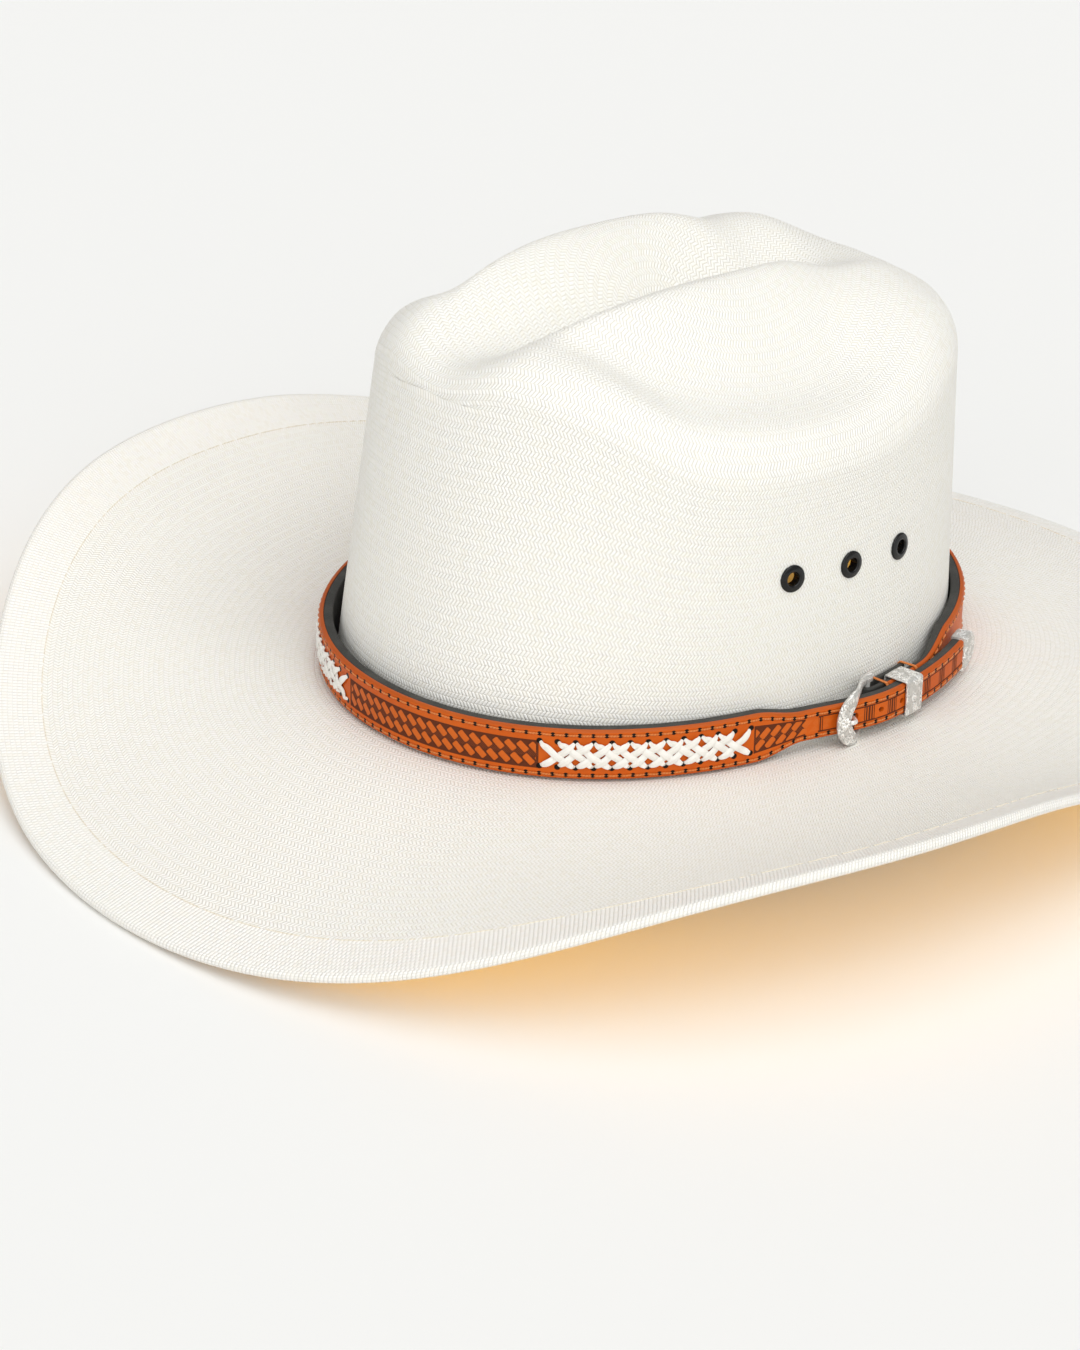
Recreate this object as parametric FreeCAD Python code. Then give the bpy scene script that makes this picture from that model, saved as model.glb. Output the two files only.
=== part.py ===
import FreeCAD, Part
import math
import os

# Western straw hat with a cattleman crown, a buckled leather hatband and a leather sweatband.
# Units are millimetres. +Z is up, -Y is the front of the hat and +X the wearer's left.
# The origin is on the surface the hat rests on, under the middle of its length and width.
# An angle round the hat is 0 at the front, 90 degrees at the wearer's left and 180 at the back.

Vector = FreeCAD.Vector
os.makedirs("parts", exist_ok=True)

# ---- driving dimensions -------------------------------------------------------------------
STRAW = 1.1                    # thickness of one layer of woven straw
CROWN_CENTRE_Y = -1.5          # middle of the head oval
CROWN_BASE = (103.5, 86.6)     # outer half length and half width of the crown at the band
CROWN_TAPERED = (94.8, 79.3)   # the same, TAPER_HEIGHT further up
TAPER_HEIGHT = 110.0
CROWN_LEAN = 8.0               # how far the tapered oval sits towards the back
OVAL_POWER = 2.07              # 2 is an ellipse, more is squarer
BREAK_Z = 27.0                 # mid-surface height where the brim meets the crown
BREAK_RADIUS = 2.5

# Values at every 22.5 degrees from the front (first) to the back (last), the same on both sides.
BRIM_EDGE_RISE = (0.2, 10.5, 40.0, 51.0, 47.0, 31.5, 18.0, 2.2, 0.2)
BRIM_WIDTH = (106.8, 107.9, 110.9, 109.1, 103.1, 103.1, 106.5, 108.7, 109.9)
SHOULDER_Z = (144.0, 142.0, 130.0, 121.0, 119.5, 121.5, 130.5, 132.0, 127.5)

CORNER_LIFT = 3.6              # how uneven the two front corners are
SHOULDER_DROP = 9.0            # height of the rounding between the crown's top and its wall
SHOULDER_START = 0.90          # fraction of the oval where that rounding begins
RAIL_Z = 158.5                 # highest point of the two rails beside the centre crease
CREASE_DEPTH = 24.0
DENT_DEPTH = 11.0              # how far each side dent is dished below a straight slope

WIRE_RADIUS = 0.5
FOLD_RADIUS = WIRE_RADIUS + 0.15 + STRAW / 2   # mid-surface radius of the brim edge's fold
FOLD_GAP = 0.4                 # between the brim and its turned-under hem
HEM_WIDTH = 14.0

BAND_BOTTOM, BAND_TOP = 28.5, 44.7
BAND_MID = (BAND_BOTTOM + BAND_TOP) / 2
BAND_GAP = 0.35                # between the crown and the hatband
LINING = 3.0                   # black backing leather of the hatband
FACE = 1.3                     # tooled leather of the hatband
STRAP_HEIGHT = 10.0            # narrow ends of the hatband at the buckle
SKIVED = 1.5                   # backing leather where it folds round the buckle bar

TAPER_START, TAPER_END = 70.0, 81.0      # angles where the strap narrows towards the buckle
LIFT_START, LIFT_END = 78.0, 102.0       # angles where the strap climbs over the chape
BILLET_END = 127.0                       # angle of the strap's free end
BILLET_OFFSET = 7.0                      # the free end's inner face, out from the crown
CHAPE_START, CHAPE_END = 114.0, 128.0    # angles where the rear end narrows and steps outwards
CHAPE_OFFSET = 4.0
TAIL_END = 111.5
TAIL_OFFSET = 0.5
BUCKLE_ANGLE = 92.5
BAR_ANGLE = 98.5
BAR_OFFSET = 3.0
BAR_RADIUS = 0.9
STRAP_HOLE_ANGLES = (97.7, 103.2)
KEEPER_ANGLE = 106.3
KEEPER_LENGTH = 8.2
LOOP_ANGLES = (101.8, 111.2)             # stitched loops that trap the keeper
TIP_LENGTH = 8.5

EYELET_Z = 81.0
EYELET_SPACING = 22.9
EYELET_CENTRE_Y = 8.0
EYELET_SLOPE = -0.06           # height change per millimetre towards the back
EYELET_BORE = 2.1
EYELET_BARREL = 2.6
EYELET_FLANGE = 4.3

SWEATBAND = 1.0                # thickness of the leather sweatband
SWEATBAND_BOTTOM, SWEATBAND_TOP = 26.5, 74.0

AROUND = 96                    # stations round a closed ring


# ---- small maths helpers ------------------------------------------------------------------
def mix(a, b, f):
    return a + (b - a) * f


def smooth(f):
    f = min(max(f, 0.0), 1.0)
    return f * f * (3 - 2 * f)


def cosine_series(stations):
    """Smooth symmetric function of the angle through values at equal steps from front to back."""
    last = len(stations) - 1
    weights = [0.5 if i in (0, last) else 1.0 for i in range(last + 1)]
    terms = []
    for k in range(last + 1):
        total = sum(w * v * math.cos(math.pi * k * i / last)
                    for i, (w, v) in enumerate(zip(weights, stations)))
        terms.append(2.0 / last * total * weights[k])
    return lambda angle: sum(c * math.cos(k * angle) for k, c in enumerate(terms))


brim_edge_rise = cosine_series(BRIM_EDGE_RISE)
brim_width = cosine_series(BRIM_WIDTH)
even_shoulder = cosine_series(SHOULDER_Z)


def shoulder_z(angle):
    """Shoulder height; the front corner stands a little higher on the wearer's left."""
    if math.cos(angle) < 0.5:
        return even_shoulder(angle)
    return even_shoulder(angle) + math.copysign(CORNER_LIFT * math.sin(3 * angle) ** 2, math.sin(angle))


def crown_wall(angle, z):
    """Point of the crown's outer wall at an angle and a height, as x, y."""
    f = (z - BREAK_Z) / TAPER_HEIGHT
    long_half = mix(CROWN_BASE[0], CROWN_TAPERED[0], f)
    wide_half = mix(CROWN_BASE[1], CROWN_TAPERED[1], f)
    s, c = math.sin(angle), math.cos(angle)
    r = (abs(s / wide_half) ** OVAL_POWER + abs(c / long_half) ** OVAL_POWER) ** (-1 / OVAL_POWER)
    return r * s, CROWN_CENTRE_Y + CROWN_LEAN * f - r * c


def outward(angle, z=BREAK_Z):
    """Horizontal outward direction of the wall."""
    step = 0.002
    ax, ay = crown_wall(angle - step, z)
    bx, by = crown_wall(angle + step, z)
    length = math.hypot(bx - ax, by - ay)
    return (by - ay) / length, -(bx - ax) / length


def beside_crown(angle, offset, z):
    """Point standing an offset out from the crown's base oval."""
    x, y = crown_wall(angle, BREAK_Z)
    nx, ny = outward(angle)
    return Vector(x + nx * offset, y + ny * offset, z)


# ---- the straw's mid-surface --------------------------------------------------------------
def crown_top(x, y, fraction, angle):
    """Height of the creased crown top. fraction is 0 at the middle and 1 at the wall."""
    y = y - CROWN_CENTRE_Y
    rail = RAIL_Z - (0.0021 if y < -8 else 0.0007) * (y + 8) ** 2
    half_width = 30.0 + 0.03 * y
    past_crest = abs(x) / (half_width * max(fraction, 0.001))
    crest = ((0.57 + 0.23 * math.cos(angle)) ** -4 + past_crest ** 4) ** -0.25
    out = min(max((fraction - crest) / (1 - crest), 0.0), 1.0)
    fall = out ** (1.3 + 1.2 * math.cos(angle) ** 2)
    height = mix(rail, shoulder_z(angle), fall)
    reach = 97.0 if y < 3 else 88.0
    crease = CREASE_DEPTH * max(0.0, 1 - ((y - 3) / reach) ** 2)
    if abs(x) < half_width:
        height -= crease * math.cos(math.pi * x / (2 * half_width)) ** 2
    dent = DENT_DEPTH * smooth((y + 68) / 30) * smooth((75 - y) / 50)
    return height - dent * math.sin(math.pi * out ** 0.95) ** 2


def straw_profile(angle):
    """Mid-surface points at one angle, from the crown's middle down to the hem's raw edge."""
    inset = STRAW / 2
    nx, ny = outward(angle)
    points = []
    wall_top = shoulder_z(angle) - SHOULDER_DROP
    wx, wy = crown_wall(angle, wall_top)
    wx, wy = wx - nx * inset, wy - ny * inset
    middle_y = CROWN_CENTRE_Y + CROWN_LEAN
    fractions = [SHOULDER_START * i / 17 for i in range(18)]
    roundings = [0.0] * 18
    for i in range(1, 7):
        turn = math.radians(15 * i)
        fractions.append(SHOULDER_START + (1 - SHOULDER_START) * math.sin(turn))
        roundings.append(SHOULDER_DROP * (1 - math.cos(turn)))
    for fraction, rounding in zip(fractions, roundings):
        x = wx * fraction
        y = middle_y + (wy - middle_y) * fraction
        points.append(Vector(x, y, crown_top(x, y, fraction, angle) - rounding))
    wall_foot = BREAK_Z + BREAK_RADIUS
    for i in range(1, 12):
        z = mix(wall_top, wall_foot, i / 11)
        x, y = crown_wall(angle, z)
        points.append(Vector(x - nx * inset, y - ny * inset, z))
    x, y = crown_wall(angle, wall_foot)
    for turn in (math.radians(30), math.radians(60)):
        offset = BREAK_RADIUS * (1 - math.cos(turn)) - inset
        points.append(Vector(x + nx * offset, y + ny * offset,
                             wall_foot - BREAK_RADIUS * math.sin(turn)))
    start = BREAK_RADIUS - inset
    width = brim_width(angle) - FOLD_RADIUS - inset
    edge_z = brim_edge_rise(angle) + 2 * FOLD_RADIUS + inset
    rise = edge_z - BREAK_Z
    power = 1.35 + 0.75 * smooth((rise + 20) / 40)

    def brim(t):
        offset = mix(start, width, t)
        return Vector(x + nx * offset, y + ny * offset, BREAK_Z + rise * t ** power)

    for i in range(0, 15):
        points.append(brim(i / 14))
    along = (brim(1.0) - brim(0.98)).normalize()
    down = Vector(nx * along.z, ny * along.z, -math.hypot(along.x, along.y))
    centre = points[-1] + down * FOLD_RADIUS
    for i in range(1, 7):
        turn = math.radians(180 - 30 * i)
        pinch = smooth((i - 4) / 2) * 0.2
        points.append(centre + along * (FOLD_RADIUS * math.sin(turn))
                      - down * (FOLD_RADIUS * -math.cos(turn)) - along * pinch)
    under = STRAW + FOLD_GAP
    for i in range(1, 6):
        back = 1 - (1.5 + (HEM_WIDTH - 1.5) * i / 5) / (width - start)
        tighten = mix(2 * FOLD_RADIUS, under, smooth(i / 3))
        points.append(brim(back) + down * tighten)
    return points, centre


# ---- surfaces and solids from rings of points ---------------------------------------------
def offset_rows(rows, distance):
    """Rows of points pushed along the surface normal; row 0 is a single point."""
    count = len(rows[0])
    result = []
    for i, row in enumerate(rows):
        before, after = rows[max(i - 1, 0)], rows[min(i + 1, len(rows) - 1)]
        moved = []
        for j in range(count):
            if i == 0:
                normal = Vector(0, 0, 1)
            else:
                down_profile = after[j] - before[j]
                around = row[(j + 1) % count] - row[j - 1]
                normal = down_profile.cross(around).normalize()
            moved.append(row[j] + normal * distance)
        result.append(moved)
    return result


def fitted_ring(row):
    """Poles whose closed cubic curve passes very nearly through a ring of points."""
    count = len(row)
    return [p - (row[j - 1] + row[(j + 1) % count] - p * 2) / 6 for j, p in enumerate(row)]


def fitted_poles(rows):
    """Poles whose cubic surface passes very nearly through the rows of points."""
    around = [fitted_ring(row) for row in rows]
    result = []
    for i, row in enumerate(around):
        if i < 2 or i > len(around) - 3:
            result.append(row)
        else:
            result.append([p - (around[i - 1][j] + around[i + 1][j] - p * 2) / 6
                           for j, p in enumerate(row)])
    return result


def clamped(count, degree):
    inner = count - degree
    return [degree + 1] + [1] * (inner - 1) + [degree + 1], list(range(inner + 1))


def ring_face(rows, degree=3):
    """Face through rows of poles, each row a closed ring."""
    mults, knots = clamped(len(rows), degree)
    count = len(rows[0])
    surface = Part.BSplineSurface()
    surface.buildFromPolesMultsKnots(rows, mults, [1] * (count + 1), knots,
                                     list(range(count + 1)), False, True, degree, 3)
    return surface.toShape()


def closed_solid(faces):
    shell = Part.makeShell(faces)
    shell.sewShape()
    solid = Part.makeSolid(Part.Shell(shell.Faces))
    if solid.Volume < 0:
        solid.reverse()
    return solid


def ring_strip(corner_rings):
    """Solid ring whose section has straight sides between four or more corner rings."""
    rings = [fitted_ring(ring) for ring in corner_rings]
    return closed_solid([ring_face([rings[i - 1], ring], 1) for i, ring in enumerate(rings)])


def around_hat(point):
    """Ring of points from a function of the angle."""
    return [point(2 * math.pi * j / AROUND) for j in range(AROUND)]


def bead(centre, radius, sides=8):
    """Round ring whose middle line is centre(angle)."""
    swell = radius * 1.045
    corners = []
    for k in range(sides):
        turn = 2 * math.pi * k / sides

        def corner(angle, turn=turn):
            nx, ny = outward(angle)
            return centre(angle) + Vector(nx, ny, 0) * (swell * math.cos(turn)) \
                + Vector(0, 0, swell * math.sin(turn))

        corners.append(around_hat(corner))
    return ring_strip(corners)


def strip(stations):
    """Solid swept through stations of four corners: inner low, outer low, outer high, inner high."""
    edges = []
    lengths = [0.0]
    for a, b in zip(stations, stations[1:]):
        lengths.append(lengths[-1] + (b[0] - a[0]).Length + (b[1] - a[1]).Length)
    for k in range(4):
        curve = Part.BSplineCurve()
        curve.interpolate(Points=[s[k] for s in stations], Parameters=lengths)
        edges.append(curve.toShape())
    faces = [Part.makeRuledSurface(edges[k - 1], edges[k]) for k in range(4)]
    for a, b, c, d in (stations[0], stations[-1]):
        faces.append(Part.makeRuledSurface(Part.makeLine(a, b), Part.makeLine(d, c)))
    return closed_solid(faces)


def export(name, shape):
    solids = shape.Solids
    assert solids and all(s.isValid() and s.Volume > 0 for s in solids), name
    shape.exportStep("parts/" + name + ".step")


# ---- straw body ---------------------------------------------------------------------------
profiles = [straw_profile(2 * math.pi * j / AROUND) for j in range(AROUND)]
mid_rows = [[profile[i] for profile, _ in profiles] for i in range(len(profiles[0][0]))]
outer_rows = fitted_poles(offset_rows(mid_rows, STRAW / 2))
inner_rows = fitted_poles(offset_rows(mid_rows, -STRAW / 2))
straw = closed_solid([ring_face(outer_rows), ring_face(inner_rows),
                      ring_face([outer_rows[-1], inner_rows[-1]], 1)])


def eyelet_place(side, index):
    """Middle of an eyelet on the crown's outer face, and its outward axis."""
    y = EYELET_CENTRE_Y + (index - 1) * EYELET_SPACING
    z = EYELET_Z + EYELET_SLOPE * (index - 1) * EYELET_SPACING
    low, high = math.radians(30), math.radians(150)
    for _ in range(40):
        angle = (low + high) / 2
        if crown_wall(angle, z)[1] < y:
            low = angle
        else:
            high = angle
    x, y = crown_wall(angle, z)
    nx, ny = outward(angle, z)
    above = Vector(*crown_wall(angle, z + 1), z + 1) - Vector(x, y, z)
    around = Vector(-ny, nx, 0)
    axis = around.cross(above).normalize()
    return Vector(side * x, y, z), Vector(side * axis.x, axis.y, axis.z)


def cylinder(radius, low, high, place, axis):
    return Part.makeCylinder(radius, high - low, place + axis * low, axis)


EYELETS = [(side_name, side, end_name, index)
           for side_name, side in (("left", 1), ("right", -1))
           for index, end_name in enumerate(("front", "middle", "rear"))]

for side_name, side, end_name, index in EYELETS:
    place, axis = eyelet_place(side, index)
    straw = straw.cut(cylinder(EYELET_BARREL + 0.05, -4, 4, place, axis))
export("straw_body", straw)


# ---- eyelets and their washers ------------------------------------------------------------
def turned(profile, place, axis):
    """Solid of revolution about an axis, from (radius, height) corners."""
    side = axis.cross(Vector(0, 0, 1)).normalize()
    points = [place + side * r + axis * h for r, h in profile]
    face = Part.Face(Part.makePolygon(points + [points[0]]))
    return face.revolve(place, axis, 360)


for side_name, side, end_name, index in EYELETS:
    place, axis = eyelet_place(side, index)
    back = -STRAW - 0.12
    eyelet = turned([(EYELET_BORE, 0.7), (EYELET_BORE + 0.5, 1.0), (EYELET_FLANGE - 0.9, 0.85),
                     (EYELET_FLANGE - 0.2, 0.45), (EYELET_FLANGE, 0.08), (EYELET_BARREL, 0.08),
                     (EYELET_BARREL, back - 0.6), (EYELET_BARREL + 0.7, back - 0.6),
                     (EYELET_BARREL + 0.6, back - 1.0), (EYELET_BORE, back - 1.1)], place, axis)
    export(f"eyelet_{side_name}_{end_name}", eyelet)
    washer = turned([(EYELET_BARREL + 0.1, back), (EYELET_FLANGE + 0.2, back),
                     (EYELET_FLANGE, back - 0.4), (EYELET_BARREL + 0.1, back - 0.5)], place, axis)
    export(f"washer_{side_name}_{end_name}", washer)


# ---- brim wire and hem stitching ----------------------------------------------------------
STITCH_ROW = len(mid_rows) - 1 - 5 - 6 - 2    # two brim stations inside the fold


def fold_centre(angle):
    return straw_profile(angle)[1]


export("brim_wire", bead(fold_centre, WIRE_RADIUS))


def hem_stitch(angle):
    """Middle line of the hem's stitching, lying on the brim above the hem's raw edge."""
    points, _ = straw_profile(angle)
    here, further = points[STITCH_ROW], points[STITCH_ROW + 1]
    nx, ny = outward(angle)
    along = (further - here).normalize()
    up = Vector(-nx * along.z, -ny * along.z, math.hypot(along.x, along.y))
    return here + up * (STRAW / 2 + 0.25)


export("hem_thread", bead(hem_stitch, 0.2, 6))


# ---- sweatband, reed, seam, bow and size label --------------------------------------------
def inside_crown(angle, inset, z):
    x, y = crown_wall(angle, max(z, BREAK_Z))
    nx, ny = outward(angle, z)
    return Vector(x - nx * inset, y - ny * inset, z)


SWEAT_OUT = STRAW + 0.35
SWEAT_IN = SWEAT_OUT + SWEATBAND


def sweatband_ring(inset, z):
    return around_hat(lambda angle: inside_crown(angle, inset, z))


export("sweatband", ring_strip([sweatband_ring(SWEAT_OUT, SWEATBAND_BOTTOM),
                                sweatband_ring(SWEAT_IN, SWEATBAND_BOTTOM),
                                sweatband_ring(SWEAT_IN, SWEATBAND_TOP),
                                sweatband_ring(SWEAT_OUT, SWEATBAND_TOP)]))
REED_RADIUS = 1.0
REED_Z = SWEATBAND_BOTTOM - REED_RADIUS - 0.15
export("sweatband_reed", bead(lambda a: inside_crown(a, SWEAT_OUT + 0.5, REED_Z), REED_RADIUS))
export("sweatband_thread", bead(lambda a: inside_crown(a, SWEAT_IN + 0.25, SWEATBAND_BOTTOM + 3),
                                0.18, 6))


def plate(start, stop, inset, thick, low, high, steps=9):
    """Thin curved plate lying against the inside of the sweatband."""
    stations = []
    for i in range(steps):
        angle = math.radians(mix(start, stop, i / (steps - 1)))
        stations.append([inside_crown(angle, inset + thick, low), inside_crown(angle, inset, low),
                         inside_crown(angle, inset, high), inside_crown(angle, inset + thick, high)])
    return strip(stations)


export("size_label", plate(196, 208, SWEAT_IN + 0.06, 0.25, 40, 48))


def bow():
    """Small ribbon bow at the back of the sweatband: two loops, two tails and a knot."""
    at = inside_crown(math.pi, SWEAT_IN + 1.2, 38.0)
    toward_head = Vector(0, -1, 0)
    pieces = [Part.makeBox(3.4, 3.2, 4.2, at + Vector(-1.7, -2.2, -2.1))]
    for side in (-1, 1):
        loop = [(0, 0.8), (5, 3.2), (10.5, 3.6), (11.5, 0), (10.5, -3.6), (5, -3.2), (0, -0.8)]
        tail = [(0, 0), (8.0, -7.0), (5.0, -8.5), (0, -1.5)]
        for outline, depth in ((loop, 1.5), (tail, 0.7)):
            points = [at + Vector(side * u, 0, v) for u, v in outline]
            face = Part.Face(Part.makePolygon(points + [points[0]]))
            pieces.append(face.extrude(toward_head * depth))
    return pieces[0].multiFuse(pieces[1:]).removeSplitter()


export("sweatband_bow", bow())


# ---- hatband ------------------------------------------------------------------------------
def band_section(angle, inner, outer, height):
    low, high = BAND_MID - height / 2, BAND_MID + height / 2
    return [beside_crown(angle, inner, low), beside_crown(angle, outer, low),
            beside_crown(angle, outer, high), beside_crown(angle, inner, high)]


def band_layers(degrees):
    """Inner face, joint between the two leathers, outer face and height of the strap.

    degrees runs down from BILLET_END at the free end, through 0 at the front, round the
    wearer's right and the back, to BAR_ANGLE - 360 where the rear end meets the buckle bar."""
    full = BAND_TOP - BAND_BOTTOM
    if degrees > -180:
        lift = smooth((degrees - LIFT_START) / (LIFT_END - LIFT_START))
        narrow = smooth((degrees - TAPER_START) / (TAPER_END - TAPER_START))
        inner = mix(BAND_GAP, BILLET_OFFSET, lift)
        lining = mix(LINING, LINING - 0.5, lift)
        return inner, inner + lining, inner + lining + FACE, mix(full, STRAP_HEIGHT, narrow)
    step = smooth((CHAPE_END - (degrees + 360)) / (CHAPE_END - CHAPE_START))
    inner = mix(BAND_GAP, CHAPE_OFFSET, step)
    joint = inner + mix(LINING, SKIVED, step)
    return inner, joint, joint + mix(FACE, 1.0, step), mix(full, STRAP_HEIGHT, step)


def band_angles(first, last):
    """Angles with close steps where the strap changes shape and wide ones elsewhere."""
    angles = [first]
    while angles[-1] > last:
        d = angles[-1]
        near_ends = d > 66 or d < CHAPE_END - 360 + 4
        angles.append(max(d - (2.0 if near_ends else 5.0), last))
    if angles[-2] - angles[-1] < 0.8:
        del angles[-2]
    return angles


def lining_strip():
    """Backing leather from the free end to the buckle bar, folded round it and back as a tail."""
    stations = []
    fold_at = BAR_ANGLE - 360
    for d in band_angles(BILLET_END, fold_at + 1.0):
        inner, joint, _, height = band_layers(d)
        stations.append(band_section(math.radians(d), inner, joint, height))
    bar = beside_crown(math.radians(BAR_ANGLE), BAR_OFFSET, 0)
    nx, ny = outward(math.radians(BAR_ANGLE))
    forward = Vector(ny, -nx, 0)
    near, far = BAR_RADIUS + 0.1, BAR_RADIUS + 0.1 + SKIVED
    low, high = BAND_MID - STRAP_HEIGHT / 2, BAND_MID + STRAP_HEIGHT / 2
    for turn in range(0, 181, 30):
        a = math.radians(turn)
        way = Vector(nx, ny, 0) * math.cos(a) + forward * math.sin(a)
        section = [bar + way * near, bar + way * far, bar + way * far, bar + way * near]
        for corner, z in zip(section, (low, low, high, high)):
            corner.z = z
        stations.append(section)
    for i in range(1, 8):
        d = mix(BAR_ANGLE, TAIL_END, i / 7)
        section = band_section(math.radians(d), TAIL_OFFSET + SKIVED, TAIL_OFFSET, STRAP_HEIGHT)
        stations.append(section)
    return strip(stations)


def face_strip(first, last):
    stations = []
    for d in band_angles(first, last):
        _, joint, outer, height = band_layers(d)
        stations.append(band_section(math.radians(d), joint + 0.02, outer, height))
    return strip(stations)


def slot(angle, low, high, radius, length):
    """Round-ended cutter through the strap, its length running along the strap."""
    at = beside_crown(math.radians(angle), 0, BAND_MID)
    nx, ny = outward(math.radians(angle))
    axis, along = Vector(nx, ny, 0), Vector(-ny, nx, 0)
    first, second = at - along * (length / 2), at + along * (length / 2)
    ends = [cylinder(radius, low, high, p, axis) for p in (first, second)]
    if length == 0:
        return ends[0]
    corners = [first + Vector(0, 0, -radius), second + Vector(0, 0, -radius),
               second + Vector(0, 0, radius), first + Vector(0, 0, radius)]
    face = Part.Face(Part.makePolygon([c + axis * low for c in corners + corners[:1]]))
    return ends[0].multiFuse([ends[1], face.extrude(axis * (high - low))])


TONGUE_HOLE_ANGLE = 91.5
holes = [slot(TONGUE_HOLE_ANGLE + 0.2, 3.6, 13, 1.15, 1.6)]
holes += [slot(a, 6, 13, 0.9, 0) for a in STRAP_HOLE_ANGLES]
lining = lining_strip()
face = face_strip(BILLET_END, BAR_ANGLE - 360 + 4)
tongue_slot_at = beside_crown(math.radians(BAR_ANGLE), BAR_OFFSET, BAND_MID)
tongue_slot = Part.makeBox(9, 7.2, 3.6, tongue_slot_at + Vector(-3.4, -4.4, -1.8))
for hole in holes:
    lining = lining.cut(hole)
    face = face.cut(hole)
# behind the face the lining's slot runs on towards the bar, which lets the tongue swing
relief = slot(TONGUE_HOLE_ANGLE + 0.8, 3.6, 13, 1.15, 3.6)
lining = lining.cut(relief).cut(tongue_slot)
export("band_lining", lining)
export("band_face", face)


def band_thread(from_edge):
    """Line of edge stitching on the strap's face, a distance in from one edge."""
    stations = []
    for d in band_angles(BILLET_END - 2, TAIL_END - 360 + 1):
        _, _, outer, height = band_layers(d)
        edge = BAND_MID + math.copysign(height / 2, from_edge) - from_edge
        a = math.radians(d)
        low, high = edge - 0.25, edge + 0.25
        stations.append([beside_crown(a, outer + 0.02, low), beside_crown(a, outer + 0.2, low),
                         beside_crown(a, outer + 0.2, high), beside_crown(a, outer + 0.02, high)])
    return strip(stations)


export("band_thread_upper", band_thread(1.5))
export("band_thread_lower", band_thread(-1.5))

# Four laced panels in white rawhide, as first and last angle
LACE_PANELS = {"left": (69.6, 32.3), "front": (-7.4, -43.6), "right": (-92.0, -127.5),
               "back": (-167.5, -205.5)}
for where, (first, last) in LACE_PANELS.items():
    outer = band_layers(first)[2]
    stations = []
    for i in range(10):
        a = math.radians(mix(first, last, i / 9))
        stations.append([beside_crown(a, outer + 0.03, 32.4), beside_crown(a, outer + 0.8, 32.4),
                         beside_crown(a, outer + 0.8, 40.8), beside_crown(a, outer + 0.03, 40.8)])
    export(f"lace_{where}", strip(stations))


# ---- buckle, tongue, keeper, stitched loops and strap tip ---------------------------------
def local_frame(angle):
    """Origin on the crown at the strap's mid height, with the rearward and outward directions."""
    nx, ny = outward(math.radians(angle))
    origin = beside_crown(math.radians(angle), 0, BAND_MID)
    return origin, Vector(-ny, nx, 0), Vector(nx, ny, 0)


BAR = beside_crown(math.radians(BAR_ANGLE), BAR_OFFSET, BAND_MID)
BUCKLE_ORIGIN, BUCKLE_REAR, BUCKLE_OUT = local_frame(BUCKLE_ANGLE)


def at_buckle(u, v, w):
    return BUCKLE_ORIGIN + BUCKLE_REAR * u + Vector(0, 0, v) + BUCKLE_OUT * w


BAR_U = (BAR - BUCKLE_ORIGIN).dot(BUCKLE_REAR)
BAR_W = (BAR - BUCKLE_ORIGIN).dot(BUCKLE_OUT)
RIM_U, RIM_W = -6.7, 9.4
ARM_V = 7.4


def closed_tube(stations):
    """Solid through rings of points, closed by a flat face at each end."""
    rings = [fitted_ring(ring) for ring in stations]
    tube = ring_face(rings, min(3, len(rings) - 1))
    caps = []
    for edge in tube.Edges:
        if edge.isClosed() and not edge.isSeam(tube):
            caps.append(Part.Face(Part.Wire([edge])))
    return closed_solid([tube] + caps)


def buckle_frame():
    """C-shaped frame: two arms rise from the bar to a wide rounded rim over the strap."""
    path = []
    for u in (BAR_U + 1.6, BAR_U - 0.8, 6.5, 3.0, 0.0):
        path.append((u, ARM_V))
    for turn in (15, 30, 45, 60, 75, 90):
        a = math.radians(turn)
        path.append((-math.sin(a) * -RIM_U, math.cos(a) * ARM_V))
    path += [(u, -v) for u, v in reversed(path[:-1])]
    stations = []
    for i, (u, v) in enumerate(path):
        before, after = path[max(i - 1, 0)], path[min(i + 1, len(path) - 1)]
        du, dv = after[0] - before[0], after[1] - before[1]
        length = math.hypot(du, dv)
        side_u, side_v = -dv / length, du / length
        w = mix(BAR_W, RIM_W, smooth((BAR_U - u) / (BAR_U + 4.0)))
        half = mix(1.4, 2.9, smooth((1.5 - u) / 8.5))
        ring = []
        for k in range(12):
            a = 2 * math.pi * k / 12
            out = half * math.copysign(abs(math.cos(a)) ** 0.8, math.cos(a))
            up = 0.9 * math.copysign(abs(math.sin(a)) ** 0.8, math.sin(a))
            ring.append(at_buckle(u + side_u * out, v + side_v * out, w + up))
        stations.append(ring)
    return closed_tube(stations)


export("buckle_frame", buckle_frame())
bar_foot = Vector(BAR.x, BAR.y, BAND_MID - ARM_V - 0.4)
export("buckle_bar", Part.makeCylinder(BAR_RADIUS, 2 * ARM_V + 0.8, bar_foot, Vector(0, 0, 1)))


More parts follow.
